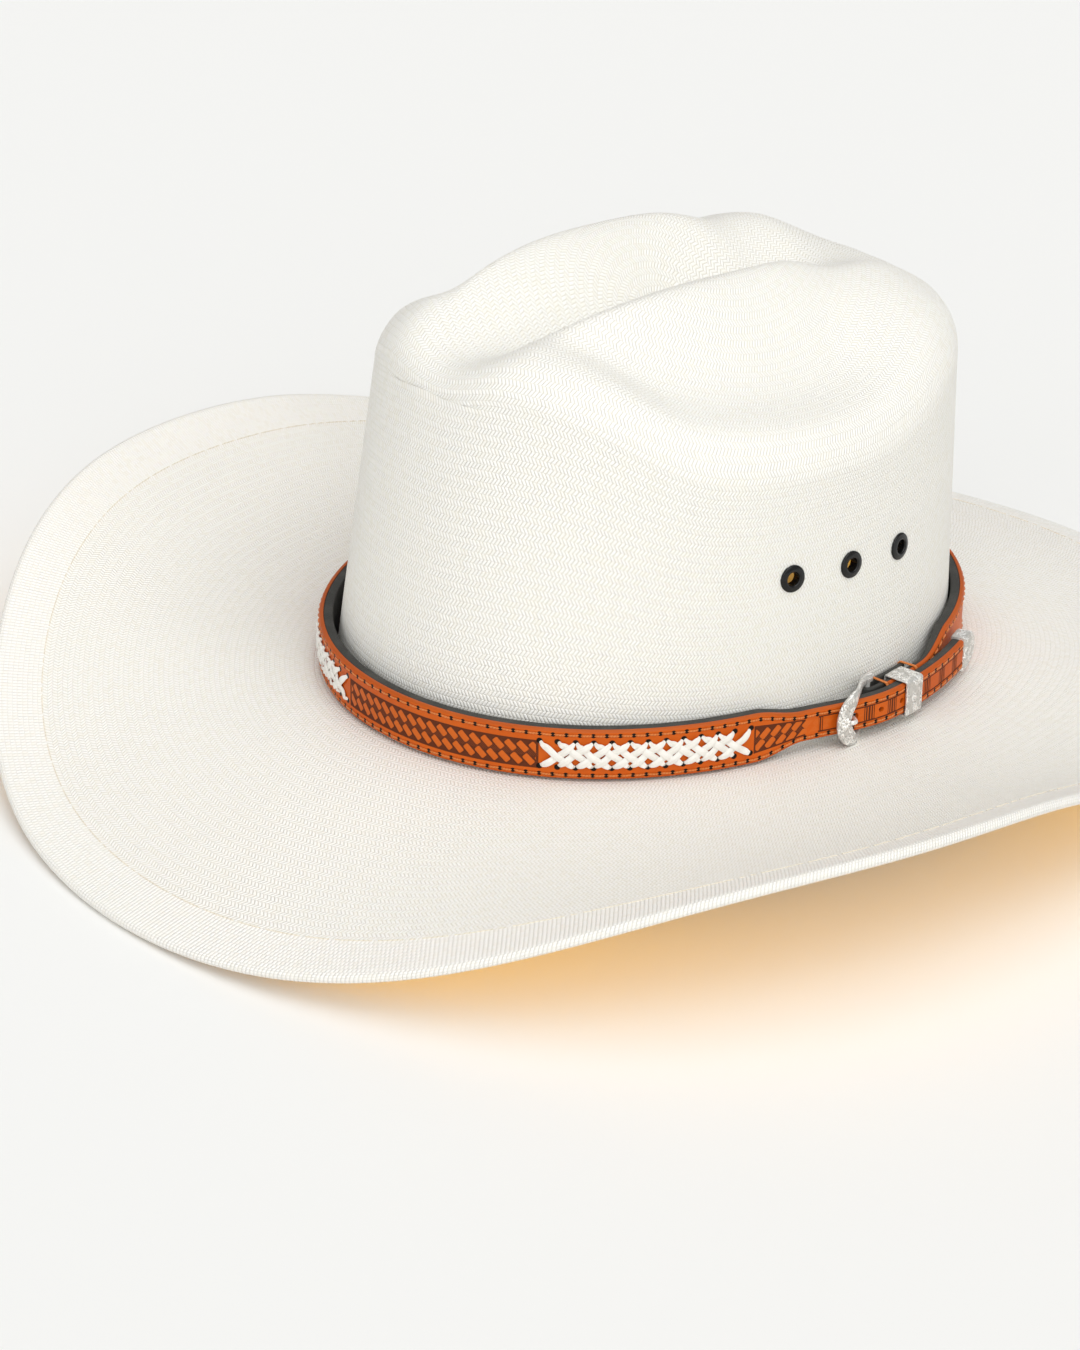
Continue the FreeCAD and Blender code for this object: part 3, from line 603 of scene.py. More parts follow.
def tooled_leather():
    """Waxed tan leather with tooled panels, border lines, stitch holes and punched lace holes; the
    holes are painted near-black as their shade.
    """
    f = Finish("tooled_leather", 0.45, Specular_IOR_Level=0.16)
    s, y = f.place()
    half_height, _ = f.place("style")

    # edge stitching: a shallow channel with a hole between stitches, the hole painted near-black as
    # shade
    from_line = ((half_height - STITCH_INSET) - y.abs()).abs()
    channel = from_line.ramp(0.75, 0.3)
    hole_along = ((s / STITCH_PITCH).fract() - 0.5).abs() * -STITCH_PITCH + STITCH_PITCH / 2
    stitch_hole = hole_along.hypotenuse(from_line).ramp(0.78, 0.62)

    # lace holes, painted near-black as their shade: two rows in each laced panel
    low, high = LACE_ROWS[0] - BAND_MID, LACE_ROWS[1] - BAND_MID
    from_row = (y - low).abs().least((y - high).abs())
    hole_shade = stitch_hole
    for start in LACES.values():
        x = s - start
        nearest = (x / LACE_PITCH + 0.5).floor().most(0.0).least(LACE_HOLES - 1.0)
        gap = (x - nearest * LACE_PITCH).hypotenuse(from_row)
        hole_shade = hole_shade.most(gap.ramp(1.05, 0.75))

    # basket-stamped panels: two staggered rows of slanted cells on a dark ground
    soft, panel_half, small_narrowing = 0.12, 4.6, 1.9
    cell_pitch, cell_length, cell_width, cell_corner = 3.75, 3.9, 2.15, 0.55
    above = y + 0.4                 # height above the panels' middle line

    def slanted_cells(x, height, lean):
        nearest = ((x + height * lean) / cell_pitch + 0.5).floor()
        dx = x - nearest * cell_pitch
        end = ((dx - height * lean) * 0.7071).abs() - (cell_length / 2 - cell_corner)
        edge = ((dx + height * lean) * 0.7071).abs() - (cell_width / 2 - cell_corner)
        return end.most(0.0).hypotenuse(edge.most(0.0)).ramp(0.62, 0.42)

    def stamped(x, lean, spread):
        upper = slanted_cells(x, above - spread, lean) * above.ramp(-0.05, 0.05)
        lower = slanted_cells(x - cell_pitch / 2, above + spread, lean) * above.ramp(0.05, -0.05)
        return upper.most(lower)

    small_low, small_high = SMALL_PANEL
    narrowing = panel_half - \
        (s - small_low).most(0.0) / (small_high - small_low) * small_narrowing
    from_edge = (y + 0.1).abs() - narrowing
    ground = s.within(small_low, small_high, soft) * from_edge.ramp(soft, -soft)
    raised = stamped(s - small_low, -1.0, 1.75) * from_edge.ramp(-0.35, -0.6) * \
        (s - small_low).ramp(0.4, 0.6)
    for low_s, high_s in PANELS:
        panel = s.within(low_s, high_s, soft) * (above.abs() - panel_half).ramp(soft, -soft)
        field = s.within(low_s + 0.7, high_s - 0.7, soft) * \
            (above.abs() - panel_half + 0.4).ramp(soft, -soft)
        ground = ground.most(panel)
        raised = raised.most(stamped(s - low_s, 1.0, 2.05) * field)
    fine_bars = ((s + y) / 0.7).fract().ramp(0.45, 0.6) * y.abs().ramp(1.3, 0.9)
    bars_ground = ground * (1 - raised)

    # the free strap: groups of upright bars between plain squares round the holes
    strap_start = band_length(84.0)
    hole_s = band_length(STRAP_HOLE_ANGLES[0])
    hole_pitch = band_length(STRAP_HOLE_ANGLES[1]) - hole_s
    on_strap = (s - strap_start).ramp(-0.1, 0.1)
    x = (((s - hole_s) / hole_pitch + 0.5).fract() - 0.5) * hole_pitch
    field = (y.abs() - 2.7).ramp(0.12, -0.12)
    square = ((x.abs() - 2.55).most(y.abs() - 2.3)).ramp(0.1, -0.1)
    upright = ((x / 0.85).fract() - 0.5).abs().ramp(0.28, 0.18) * (y.abs() - 2.2).ramp(0.1, -0.1)
    strap_ground = on_strap * field * (1 - square.most(upright))
    dark = bars_ground.most(strap_ground)

    # wear, oil and scratches
    cloud = f.noise(0.05, 5.0)
    worn = ((half_height - y.abs()) - 0.55).ramp(0.25, -0.25)
    scratch = f.noise(0.25, 6.0, stretch=(1.0, 1.0, 7.0)).ramp(0.62, 0.8)
    # the stitch and lace holes are painted near-black: painted shade inside the holes
    f.colour((0.58, 0.098, 0.006), (cloud.ramp(0.35, 0.7) * 0.4, (0.68, 0.14, 0.010)),
             (scratch * 0.25, (0.42, 0.07, 0.008)), (raised * 0.35, (0.62, 0.15, 0.022)),
             (dark * 0.93, (0.075, 0.020, 0.008)),
             (bars_ground * fine_bars * 0.5, (0.30, 0.07, 0.02)),
             (channel * 0.25, (0.40, 0.08, 0.015)), (worn * 0.35, (0.22, 0.06, 0.02)),
             (hole_shade, (0.006, 0.004, 0.003)))
    height = leather_grain(f) * 0.12 - dark * 0.9 - channel * 0.3 - \
        hole_shade * 1.5 + (cloud - 0.5) * 0.2 - bars_ground * fine_bars * -0.4
    f.relief(height, 0.35, 0.9)
    f.roughen(0.36 + dark * 0.25 + f.noise(0.3, 4.0) * 0.15)
    return f.material


def black_leather():
    """Matt backing leather, rubbed grey in places."""
    f = Finish("lining_leather", 0.62, Specular_IOR_Level=0.35)
    cloud = f.noise(0.12, 5.0)
    f.colour((0.040, 0.039, 0.035), (cloud.ramp(0.4, 0.8) * 0.6, (0.085, 0.082, 0.072)),
             (f.noise(1.2, 2.0).ramp(0.6, 0.75) * 0.25, (0.12, 0.115, 0.105)))
    f.relief(leather_grain(f, 2.2), 0.12, 0.8)
    return f.material


def white_lace():
    """Rawhide lacing: satin white with long faint fibres."""
    f = Finish("rawhide_lace", 0.45, Specular_IOR_Level=0.4)
    along, across = f.place()
    fibre = f.noise(1.0, 3.0, at=f.vector(along * 0.25, across * 3.0))
    f.colour((0.86, 0.84, 0.79), (fibre.ramp(0.45, 0.8) * 0.5, (0.72, 0.68, 0.60)),
             (f.noise(0.2, 3.0).ramp(0.5, 0.8) * 0.3, (0.93, 0.92, 0.89)))
    f.relief(fibre + f.noise(0.8, 3.0) * 0.4, 0.15, 0.8)
    return f.material


def twisted_thread(name, base, groove_shade, pitch=0.9):
    """Thread with its plies twisted round it, with painted shade in the grooves between the plies."""
    f = Finish(name, 0.5, Sheen_Weight=0.2)
    along, around = f.place()
    twist = (along / pitch + around / pitch * 0.8).zigzag()
    # painted shade: the grooves between the plies are coloured darker
    f.colour(base, (twist.ramp(0.55, 1.0) * 0.8, groove_shade),
             (f.noise(0.4, 3.0).ramp(0.4, 0.8) * 0.3, tuple(c * 1.25 for c in base)))
    f.relief(1 - twist.power(2.0), 0.12, 0.9)
    return f.material


def engraved_silver():
    """Polished silver plate engraved with leafy scrolls, darkened in the cuts."""
    f = Finish("engraved_silver", 0.2, metallic=0.6)
    engraved, _ = f.place("style")
    swirl = f.noise(0.28, 2.0)
    scrolls = (swirl * 9.0).zigzag()
    leaves = f.cells(0.55, "SMOOTH_F1").ramp(0.15, 0.55)
    cut = scrolls.ramp(0.62, 0.95).most(leaves.ramp(0.75, 0.95) * 0.7) * engraved
    tarnish = f.noise(0.15, 5.0).ramp(0.45, 0.8)
    f.colour((0.95, 0.94, 0.91), (tarnish * 0.2, (0.80, 0.77, 0.71)),
             (cut * 0.6, (0.22, 0.20, 0.17)))
    f.relief(1 - cut + f.noise(0.8, 3.0) * 0.15, 0.22, 0.9)
    f.roughen(0.2 + cut * 0.25 + f.noise(0.5, 4.0) * 0.12)
    return f.material


def black_enamel():
    """Glossy black paint over the eyelets' metal."""
    f = Finish("eyelet_enamel", 0.12, Specular_IOR_Level=0.35)
    f.colour((0.006, 0.006, 0.006), (f.noise(0.5, 5.0).ramp(0.62, 0.8) * 0.5, (0.03, 0.027, 0.025)))
    f.relief(f.noise(0.6, 3.0), 0.04, 0.5)
    f.roughen(0.06 + f.noise(0.4, 4.0) * 0.12)
    return f.material


def plated_steel():
    """Dull plating with faint drawing lines."""
    f = Finish("plated_steel", 0.35, metallic=1.0)
    f.colour((0.55, 0.55, 0.54), (f.noise(0.4, 4.0).ramp(0.4, 0.8) * 0.5, (0.36, 0.35, 0.33)))
    f.relief(f.noise(1.5, 2.0, stretch=(1.0, 1.0, 5.0)), 0.05, 0.5)
    return f.material


def sweat_leather():
    """Smooth tan leather with pores and a slightly darker worn line."""
    f = Finish("sweat_leather", 0.5, Specular_IOR_Level=0.4)
    _, height = f.place()
    pores = f.cells(1.1).ramp(0.12, 0.3)
    worn = (height - 12.0).abs().ramp(14.0, 4.0)
    f.colour((0.42, 0.20, 0.085), (f.noise(0.05, 5.0).ramp(0.35, 0.7) * 0.5, (0.52, 0.27, 0.12)),
             (worn * 0.35, (0.30, 0.13, 0.055)), ((1 - pores) * 0.35, (0.22, 0.09, 0.04)))
    f.relief(pores * 0.5 + f.noise(0.3, 4.0), 0.2, 0.7)
    return f.material


def ribbed_cloth(name, base, dark, pitch=0.45):
    """Ribbon or label cloth with crossing threads, with painted shade in the hollows between the ribs
    and threads.
    """
    f = Finish(name, 0.6, Sheen_Weight=0.4)
    along, across = f.place()
    rib = (along / pitch).zigzag()
    weft = (across / pitch * 0.6).zigzag()
    # painted shade: the hollows between the ribs and the crossing threads are coloured towards the
    # dark colour
    f.colour(base, (rib.ramp(0.5, 1.0) * 0.6, dark), (weft.ramp(0.6, 1.0) * 0.3, dark))
    f.relief(1 - rib.power(2.0) * 0.7 - weft.power(2.0) * 0.3, 0.1, 0.8)
    return f.material


# ---- distance along the hatband ----
BAND_FACE_OFFSET = BAND_GAP + LINING + FACE
_step = math.radians(0.5)
_lengths = [0.0]
for k in range(721):
    a = -math.pi + k * _step
    _lengths.append(_lengths[-1] + (beside_crown(a + _step, BAND_FACE_OFFSET, 0)
                                    - beside_crown(a, BAND_FACE_OFFSET, 0)).length)


def band_length(degrees):
    """Distance along the band's face from the front, positive towards the wearer's left."""
    turns = math.floor((degrees + 180) / 360)
    place = (degrees - 360 * turns + 180) * 2
    whole = min(int(place), 719)
    here = mix(_lengths[whole], _lengths[whole + 1], place - whole)
    return here - _lengths[360] + turns * _lengths[720]


def band_angle(length):
    """The angle, in degrees, at a distance along the band's face."""
    low, high = -400.0, 200.0
    for _ in range(40):
        middle = (low + high) / 2
        if band_length(middle) < length:
            low = middle
        else:
            high = middle
    return low


def band_layers(degrees):
    """Inner face, joint between the two leathers, outer face and height of the strap."""
    full = BAND_TOP - BAND_BOTTOM
    if degrees > -180:
        lift = smooth((degrees - LIFT_START) / (LIFT_END - LIFT_START))
        narrow = smooth((degrees - TAPER_START) / (TAPER_END - TAPER_START))
        inner = mix(BAND_GAP, BILLET_OFFSET, lift)
        lining = mix(LINING, LINING - 0.5, lift)
        return inner, inner + lining, inner + lining + FACE, mix(full, STRAP_HEIGHT, narrow)
    step = smooth((CHAPE_END - (degrees + 360)) / (CHAPE_END - CHAPE_START))
    inner = mix(BAND_GAP, CHAPE_OFFSET, step)
    joint = inner + mix(LINING, SKIVED, step)
    return inner, joint, joint + mix(FACE, 1.0, step), mix(full, STRAP_HEIGHT, step)


def local_frame(angle):
    """Origin on the crown at the strap's mid height, with the rearward and outward directions."""
    nx, ny = outward(math.radians(angle))
    origin = beside_crown(math.radians(angle), 0, BAND_MID)
    return origin, Vector((-ny, nx, 0)), Vector((nx, ny, 0))


# ---- materials, made once ----
STRAW_FINISH = woven_straw()
FACE_FINISH = tooled_leather()
LINING_FINISH = black_leather()
LACE_FINISH = white_lace()
ORANGE_THREAD = twisted_thread("orange_thread", (0.66, 0.19, 0.022), (0.40, 0.09, 0.010))
TAN_THREAD = twisted_thread("hem_thread", (0.86, 0.80, 0.68), (0.66, 0.58, 0.44), 1.6)
WHITE_THREAD = twisted_thread("seam_thread", (0.80, 0.76, 0.68), (0.55, 0.5, 0.42), 1.6)
SILVER = engraved_silver()
ENAMEL = black_enamel()
STEEL = plated_steel()
SWEAT_FINISH = sweat_leather()
RIBBON = ribbed_cloth("ribbon_cloth", (0.03, 0.018, 0.012), (0.01, 0.006, 0.004))
LABEL = ribbed_cloth("label_cloth", (0.78, 0.76, 0.70), (0.6, 0.58, 0.52), 0.3)
REED = twisted_thread("reed_finish", (0.60, 0.50, 0.34), (0.42, 0.33, 0.2), 2.0)


# ---- straw body ----
TOP_ROWS, ROUND_ROWS, WALL_ROWS, BREAK_ROWS, BRIM_ROWS, FOLD_ROWS, HEM_ROWS = 54, 9, 60, 3, 66, 6, 9
ROW_PITCH = 1.6                 # of the brim's rows
EDGE_ROW = TOP_ROWS + ROUND_ROWS + WALL_ROWS + BREAK_ROWS + BRIM_ROWS + 1
HEM_ROW = EDGE_ROW - round(HEM_WIDTH / ROW_PITCH)


def crown_top(x, y, fraction, angle):
    """Height of the creased crown top. fraction is 0 at the middle and 1 at the wall."""
    y = y - CROWN_CENTRE_Y
    rail_fall = 0.0021 if y < -8 else 0.0007   # steeper towards the front
    rail = RAIL_Z - rail_fall * (y + 8) ** 2
    half_width = 30.0 + 0.03 * y
    past_crest = abs(x) / (half_width * max(fraction, 0.001))
    crest = ((0.57 + 0.23 * math.cos(angle)) ** -4 + past_crest ** 4) ** -0.25
    out = clamp((fraction - crest) / (1 - crest))
    fall = out ** (1.3 + 1.2 * math.cos(angle) ** 2)
    height = mix(rail, shoulder_z(angle), fall)
    reach = 97.0 if y < 3 else 88.0
    crease = CREASE_DEPTH * max(0.0, 1 - ((y - 3) / reach) ** 2)
    if abs(x) < half_width:
        height -= crease * math.cos(math.pi * x / (2 * half_width)) ** 2
    dent = DENT_DEPTH * smooth((y + 68) / 30) * smooth((75 - y) / 50)
    return height - dent * math.sin(math.pi * out ** 0.95) ** 2


def straw_profile(angle):
    """Mid-surface points at one angle, from the crown's middle down to the hem's raw edge."""
    inset = STRAW / 2
    nx, ny = outward(angle)
    points = []
    wall_top = shoulder_z(angle) - SHOULDER_DROP
    wx, wy = crown_wall(angle, wall_top)
    wx, wy = wx - nx * inset, wy - ny * inset
    middle_y = CROWN_CENTRE_Y + CROWN_LEAN
    stations = [(mix(0.008, SHOULDER_START, i / TOP_ROWS), 0.0) for i in range(TOP_ROWS + 1)]
    for i in range(1, ROUND_ROWS + 1):
        turn = math.pi / 2 * i / ROUND_ROWS
        stations.append((SHOULDER_START + (1 - SHOULDER_START) * math.sin(turn),
                         SHOULDER_DROP * (1 - math.cos(turn))))
    for fraction, rounding in stations:
        x = wx * fraction
        y = middle_y + (wy - middle_y) * fraction
        points.append(Vector((x, y, crown_top(x, y, fraction, angle) - rounding)))
    wall_foot = BREAK_Z + BREAK_RADIUS
    for i in range(1, WALL_ROWS + 1):
        z = mix(wall_top, wall_foot, i / WALL_ROWS)
        x, y = crown_wall(angle, z)
        points.append(Vector((x - nx * inset, y - ny * inset, z)))
    x, y = crown_wall(angle, wall_foot)
    for i in range(1, BREAK_ROWS + 1):
        turn = math.pi / 2 * i / (BREAK_ROWS + 1)
        offset = BREAK_RADIUS * (1 - math.cos(turn)) - inset
        points.append(Vector((x + nx * offset, y + ny * offset,
                              wall_foot - BREAK_RADIUS * math.sin(turn))))
    start = BREAK_RADIUS - inset
    width = brim_width(angle) - FOLD_RADIUS - inset
    rise = brim_edge_rise(angle) + 2 * FOLD_RADIUS + inset - BREAK_Z
    power = 1.35 + 0.75 * smooth((rise + 20) / 40)

    def brim(t):
        offset = mix(start, width, t)
        return Vector((x + nx * offset, y + ny * offset, BREAK_Z + rise * t ** power))

    points.extend(brim(i / BRIM_ROWS) for i in range(BRIM_ROWS + 1))
    along = (brim(1.0) - brim(0.98)).normalized()
    down = Vector((nx * along.z, ny * along.z, -math.hypot(along.x, along.y)))
    centre = points[-1] + down * FOLD_RADIUS
    for i in range(1, FOLD_ROWS + 1):
        turn = math.radians(180 - 180 * i / FOLD_ROWS)
        pinch = smooth((i / FOLD_ROWS * 6 - 4) / 2) * 0.2
        points.append(centre + along * (FOLD_RADIUS * math.sin(turn) - pinch)
                      + down * (FOLD_RADIUS * math.cos(turn)))
    for i in range(1, HEM_ROWS + 1):
        back = 1 - (1.5 + (HEM_WIDTH - 1.5) * i / HEM_ROWS) / (width - start)
        tighten = mix(2 * FOLD_RADIUS, STRAW + FOLD_GAP, smooth(i / HEM_ROWS * 5 / 3))
        points.append(brim(back) + down * tighten)
    return points


def offset_rows(rows, distance):
    """Rows of points pushed along the surface normal."""
    count = len(rows[0])
    result = []
    for i, row in enumerate(rows):
        before, after = rows[max(i - 1, 0)], rows[min(i + 1, len(rows) - 1)]
        moved = []
        for j in range(count):
            normal = (after[j] - before[j]).cross(row[(j + 1) % count] - row[j - 1]).normalized()
            moved.append(row[j] + normal * distance)
        result.append(moved)
    return result


def eyelet_place(side, index):
    """Middle of an eyelet on the crown's outer face, and its outward axis."""
    y = EYELET_CENTRE_Y + (index - 1) * EYELET_SPACING
    z = EYELET_Z + EYELET_SLOPE * (index - 1) * EYELET_SPACING
    low, high = math.radians(30), math.radians(150)
    for _ in range(40):
        angle = (low + high) / 2
        if crown_wall(angle, z)[1] < y:
            low = angle
        else:
            high = angle
    x, y = crown_wall(angle, z)
    nx, ny = outward(angle, z)
    above = Vector((*crown_wall(angle, z + 1), z + 1)) - Vector((x, y, z))
    axis = Vector((-ny, nx, 0)).cross(above).normalized()
    return Vector((side * x, y, z)), Vector((side * axis.x, axis.y, axis.z))


def straw_body():
    profiles = [straw_profile(2 * math.pi * j / AROUND) for j in range(AROUND)]
    rows = [[profile[i] for profile in profiles] for i in range(len(profiles[0]))]
    outer, inner = offset_rows(rows, STRAW / 2), offset_rows(rows, -STRAW / 2)
    strands = []
    for i, row in enumerate(rows):
        girth = sum((row[j] - row[j - 1]).length for j in range(AROUND))
        strands.append(max(4, round(girth / STRAND)))

    def place(i, j, a, b):
        return b / AROUND * strands[i], float(a)

    def style(i, j):
        if i >= HEM_ROW:
            return 0.15, 1.0
        return (0.8 if i % 2 else -0.8), 0.0

    holes = []
    for side in (1, -1):
        for index in range(3):
            centre, axis = eyelet_place(side, index)
            holes.append((centre, axis, EYELET_BARREL + 0.15))
    shape = Shape()
    shape.slab(outer, inner, True, place, style, holes)
    for grid, flip in ((0, True), (len(rows) * AROUND, False)):
        cap = [grid + j for j in range(AROUND)]
        shape.face(cap[::-1] if flip else cap)
    shape.piece("woven_hat", "hat", STRAW_FINISH, ["straw_body"], sharp=60)


straw_body()


# ---- hidden wire and hem stitching ----
def ring_piece(name, node, path, radius, material, sides=8):
    """Closed round ring, such as a wire or a reed."""
    count = len(path)
    shape = Shape()
    travelled = 0.0
    for j, p in enumerate(path):
        along = (path[(j + 1) % count] - path[j - 1]).normalized()
        side = along.cross(Vector((0, 0, 1))).normalized()
        up = side.cross(along)
        shape.points.extend(p + (side * math.cos(t) + up * math.sin(t)) * radius
                            for t in (2 * math.pi * k / sides for k in range(sides)))
    for j in range(count):
        step = (path[(j + 1) % count] - path[j]).length
        girth = 2 * math.pi * radius / sides
        for k in range(sides):
            n, m = (j + 1) % count, (k + 1) % sides
            shape.face([j * sides + k, n * sides + k, n * sides + m, j * sides + m],
                       [(travelled, k * girth), (travelled + step, k * girth),
                        (travelled + step, (k + 1) * girth), (travelled, (k + 1) * girth)])
        travelled += step
    shape.piece(name, "hat", material, [node])


def hem_points(angle):
    """Stitch line on the brim, its upward normal, and the centre of the edge's fold."""
    points = straw_profile(angle)
    here, further = points[HEM_ROW], points[HEM_ROW + 1]
    along = (further - here).normalized()
    nx, ny = outward(angle)
    up = Vector((-nx * along.z, -ny * along.z, math.hypot(along.x, along.y)))
    return here, up, (points[EDGE_ROW] + points[EDGE_ROW + FOLD_ROWS]) / 2


def hem():
    """Wire in the brim's edge and the row of stitches that holds the turned hem."""
    steps, pitch, radius = 720, 3.4, 0.2
    stations = [hem_points(2 * math.pi * j / steps) for j in range(steps)]
    ring_piece("edge_wire", "brim_wire", [s[2] for s in stations[::3]], WIRE_RADIUS, STEEL)
    shape = Shape()
    length = 0.0
    path = [s[0] + s[1] * (STRAW / 2) for s in stations]
    stitch = []
    for j in range(steps):
        length += (path[j] - path[j - 1]).length
        up = stations[j][1]
        along_stitch = (length / pitch) % 1.0
        stitch.append(path[j] + up * (0.22 * math.sin(math.pi * along_stitch) - 0.05))
        if along_stitch > 0.82 and len(stitch) > 1:
            shape.tube(stitch, radius, 6)
            stitch = []
    shape.piece("hem_stitching", "hat", TAN_THREAD, ["hem_thread"])


hem()


# ---- eyelets ----
def arc(centre, radius, start, stop, steps):
    return [(centre[0] + radius * math.cos(t), centre[1] + radius * math.sin(t))
            for t in (math.radians(mix(start, stop, i / steps)) for i in range(steps + 1))]


def eyelets():
    """Six rolled eyelets and the washers they are clenched over inside the crown."""
    back = -STRAW - 0.12            # inner face of the straw, with a little play
    dome = arc((EYELET_FLANGE - 0.55, 0.2), 0.55, -12, 85, 5)
    inner_roll = arc((EYELET_BORE + 0.55, 0.45), 0.55, 95, 180, 5)
    outline = [(EYELET_BARREL, 0.06), (EYELET_FLANGE - 0.1, 0.06)] + dome + \
        [(EYELET_FLANGE - 1.2, 0.92)] + inner_roll + \
        [(EYELET_BORE, back - 0.95), (EYELET_BARREL + 0.5, back - 1.0),
         (EYELET_BARREL + 0.7, back - 0.7), (EYELET_BARREL, back - 0.6)]
    washer = [(EYELET_BARREL + 0.12, back - 0.02), (EYELET_FLANGE, back - 0.02),
              (EYELET_FLANGE + 0.15, back - 0.15), (EYELET_FLANGE, back - 0.38),
              (EYELET_BARREL + 0.12, back - 0.45)]
    for side_name, side in (("left", 1), ("right", -1)):
        for index, end in enumerate(("front", "middle", "rear")):
            place, axis = eyelet_place(side, index)
            shape = Shape()
            shape.turned(outline, place, axis)
            shape.piece(f"vent_eyelet_{side_name}_{end}", "hat", ENAMEL,
                        [f"eyelet_{side_name}_{end}"])
            shape = Shape()
            shape.turned(washer, place, axis)
            shape.piece(f"vent_washer_{side_name}_{end}", "hat", STEEL,
                        [f"washer_{side_name}_{end}"])


eyelets()


# ---- sweatband, reed, seam thread, bow and label ----
def sweatband():
    """Leather band inside the crown, with the reed under it and a line of stitches."""
    count, rows = 240, 24
    outer, inner = [], []
    for i in range(rows + 1):
        z = mix(SWEATBAND_BOTTOM, SWEATBAND_TOP, i / rows)
        roundness = 0.3 * max(0.0, 1 - min(i, rows - i) / 1.5)
        sag = 0.35 * smooth((z - 60) / 14)
        ring_out, ring_in = [], []
        for j in range(count):
            a = 2 * math.pi * j / count
            ripple = sag * (0.5 + 0.5 * math.sin(9 * a + 1.3) * math.sin(4 * a))
            ring_out.append(inside_crown(a, SWEAT_OUT + roundness + ripple * 0.6, z))
            ring_in.append(inside_crown(a, SWEAT_IN - roundness + ripple, z))
        outer.append(ring_out)
        inner.append(ring_in)
    shape = Shape()
    shape.slab(outer[::-1], inner[::-1], True,
               lambda i, j, a, b: (b * 2.4, a * (SWEATBAND_TOP - SWEATBAND_BOTTOM) / rows))
    shape.piece("sweat_leather_band", "hat", SWEAT_FINISH, ["sweatband"])
    angles = [2 * math.pi * j / count for j in range(count)]
    reed_z = SWEATBAND_BOTTOM - 1.15
    ring_piece("reed_cord", "sweatband_reed", [inside_crown(a, SWEAT_OUT + 0.5, reed_z)
                                               for a in angles], 1.0, REED, 12)
    shape = Shape()
    stitches = 150
    for k in range(stitches):
        start = 2 * math.pi * k / stitches
        path = []
        for i in range(7):
            a = start + 2 * math.pi / stitches * 0.84 * i / 6
            lift = 0.28 * math.sin(math.pi * i / 6) - 0.08
            path.append(inside_crown(a, SWEAT_IN + lift, SWEATBAND_BOTTOM + 3))
        shape.tube(path, 0.17, 6)
    shape.piece("sweatband_stitches", "hat", WHITE_THREAD, ["sweatband_thread"])


FORWARD = Vector((0, -1, 0))


def ribbon(shape, path, widths, normal, thick):
    """Flat ribbon along a path lying roughly square to normal."""
    rings = []
    for i, p in enumerate(path):
        along = (path[min(i + 1, len(path) - 1)] - path[max(i - 1, 0)]).normalized()
        side = along.cross(normal[i] if isinstance(normal, list) else normal).normalized()
        up = side.cross(along).normalized()
        half, t = widths[i] / 2, thick / 2
        rings.append([p + side * (half * u) + up * (t * v) for u, v in
                      ((-1, -0.5), (-0.86, -1), (0.86, -1), (1, -0.5),
                       (1, 0.5), (0.86, 1), (0.0, 1.25), (-0.86, 1), (-1, 0.5))])
    shape.loft(rings)


def bow_and_label():
    at = inside_crown(math.pi, SWEAT_IN + 1.3, 38.0)
    shape = Shape()
    for side in (-1, 1):
        loop, widths = [], []
        for i in range(25):
            t = 2 * math.pi * i / 24
            reach = 5.8 * (1 - math.cos(t))
            puff = 1.0 * math.sin(t)
            loop.append(at + Vector((side * reach, -1.0 - puff, 0.25 * math.sin(t))))
            widths.append(3.2 + 3.0 * math.sin(t / 2) ** 1.5)
        half = len(loop) // 2
        ribbon(shape, loop[:half + 1], widths[:half + 1], FORWARD, 0.4)
        ribbon(shape, loop[half:], widths[half:], FORWARD, 0.4)
        tail = [at + Vector((side * (0.8 + 5.6 * t), -0.5 - 0.5 * math.sin(math.pi * t),
                             -1.2 - 6.2 * t ** 1.2)) for t in (i / 10 for i in range(11))]
        ribbon(shape, tail, [2.4 + 1.2 * i / 10 for i in range(11)], FORWARD, 0.35)
    knot = [at + Vector((0, -1.2 - 0.9 * math.sin(math.pi * t), 2.1 - 4.2 * t))
            for t in (i / 10 for i in range(11))]
    ribbon(shape, knot, [2.6 + 0.9 * math.sin(math.pi * i / 10) for i in range(11)],
           FORWARD, 0.9)
    shape.piece("sweatband_ribbon_bow", "hat", RIBBON, ["sweatband_bow"])
    outer, inner = [], []
    for z in [mix(40, 48, i / 8) for i in range(9)]:
        angles = [math.radians(mix(196, 208, j / 18)) for j in range(19)]
        outer.append([inside_crown(a, SWEAT_IN + 0.06, z) for a in angles])
        inner.append([inside_crown(a, SWEAT_IN + 0.31, z) for a in angles])
    shape = Shape()
    shape.slab(outer[::-1], inner[::-1], False, lambda i, j, a, b: (b * 1.0, a * 1.0))
    shape.piece("blank_size_label", "hat", LABEL, ["size_label"])


sweatband()
bow_and_label()


# ---- hatband ----
def band_columns(first, last, step):
    count = max(2, round(abs(last - first) / step))
    return [mix(first, last, i / count) for i in range(count + 1)]


def strap_hole(degrees, radius):
    """A hole's middle in the face leather, its axis and its radius."""
    origin, _, out = local_frame(degrees)
    return origin + out * (band_layers(degrees)[2] - FACE / 2), out, radius


def strap_holes():
    return [strap_hole(TONGUE_HOLE_ANGLE + 0.2, 1.35)] + \
        [strap_hole(degrees, 0.95) for degrees in STRAP_HOLE_ANGLES]


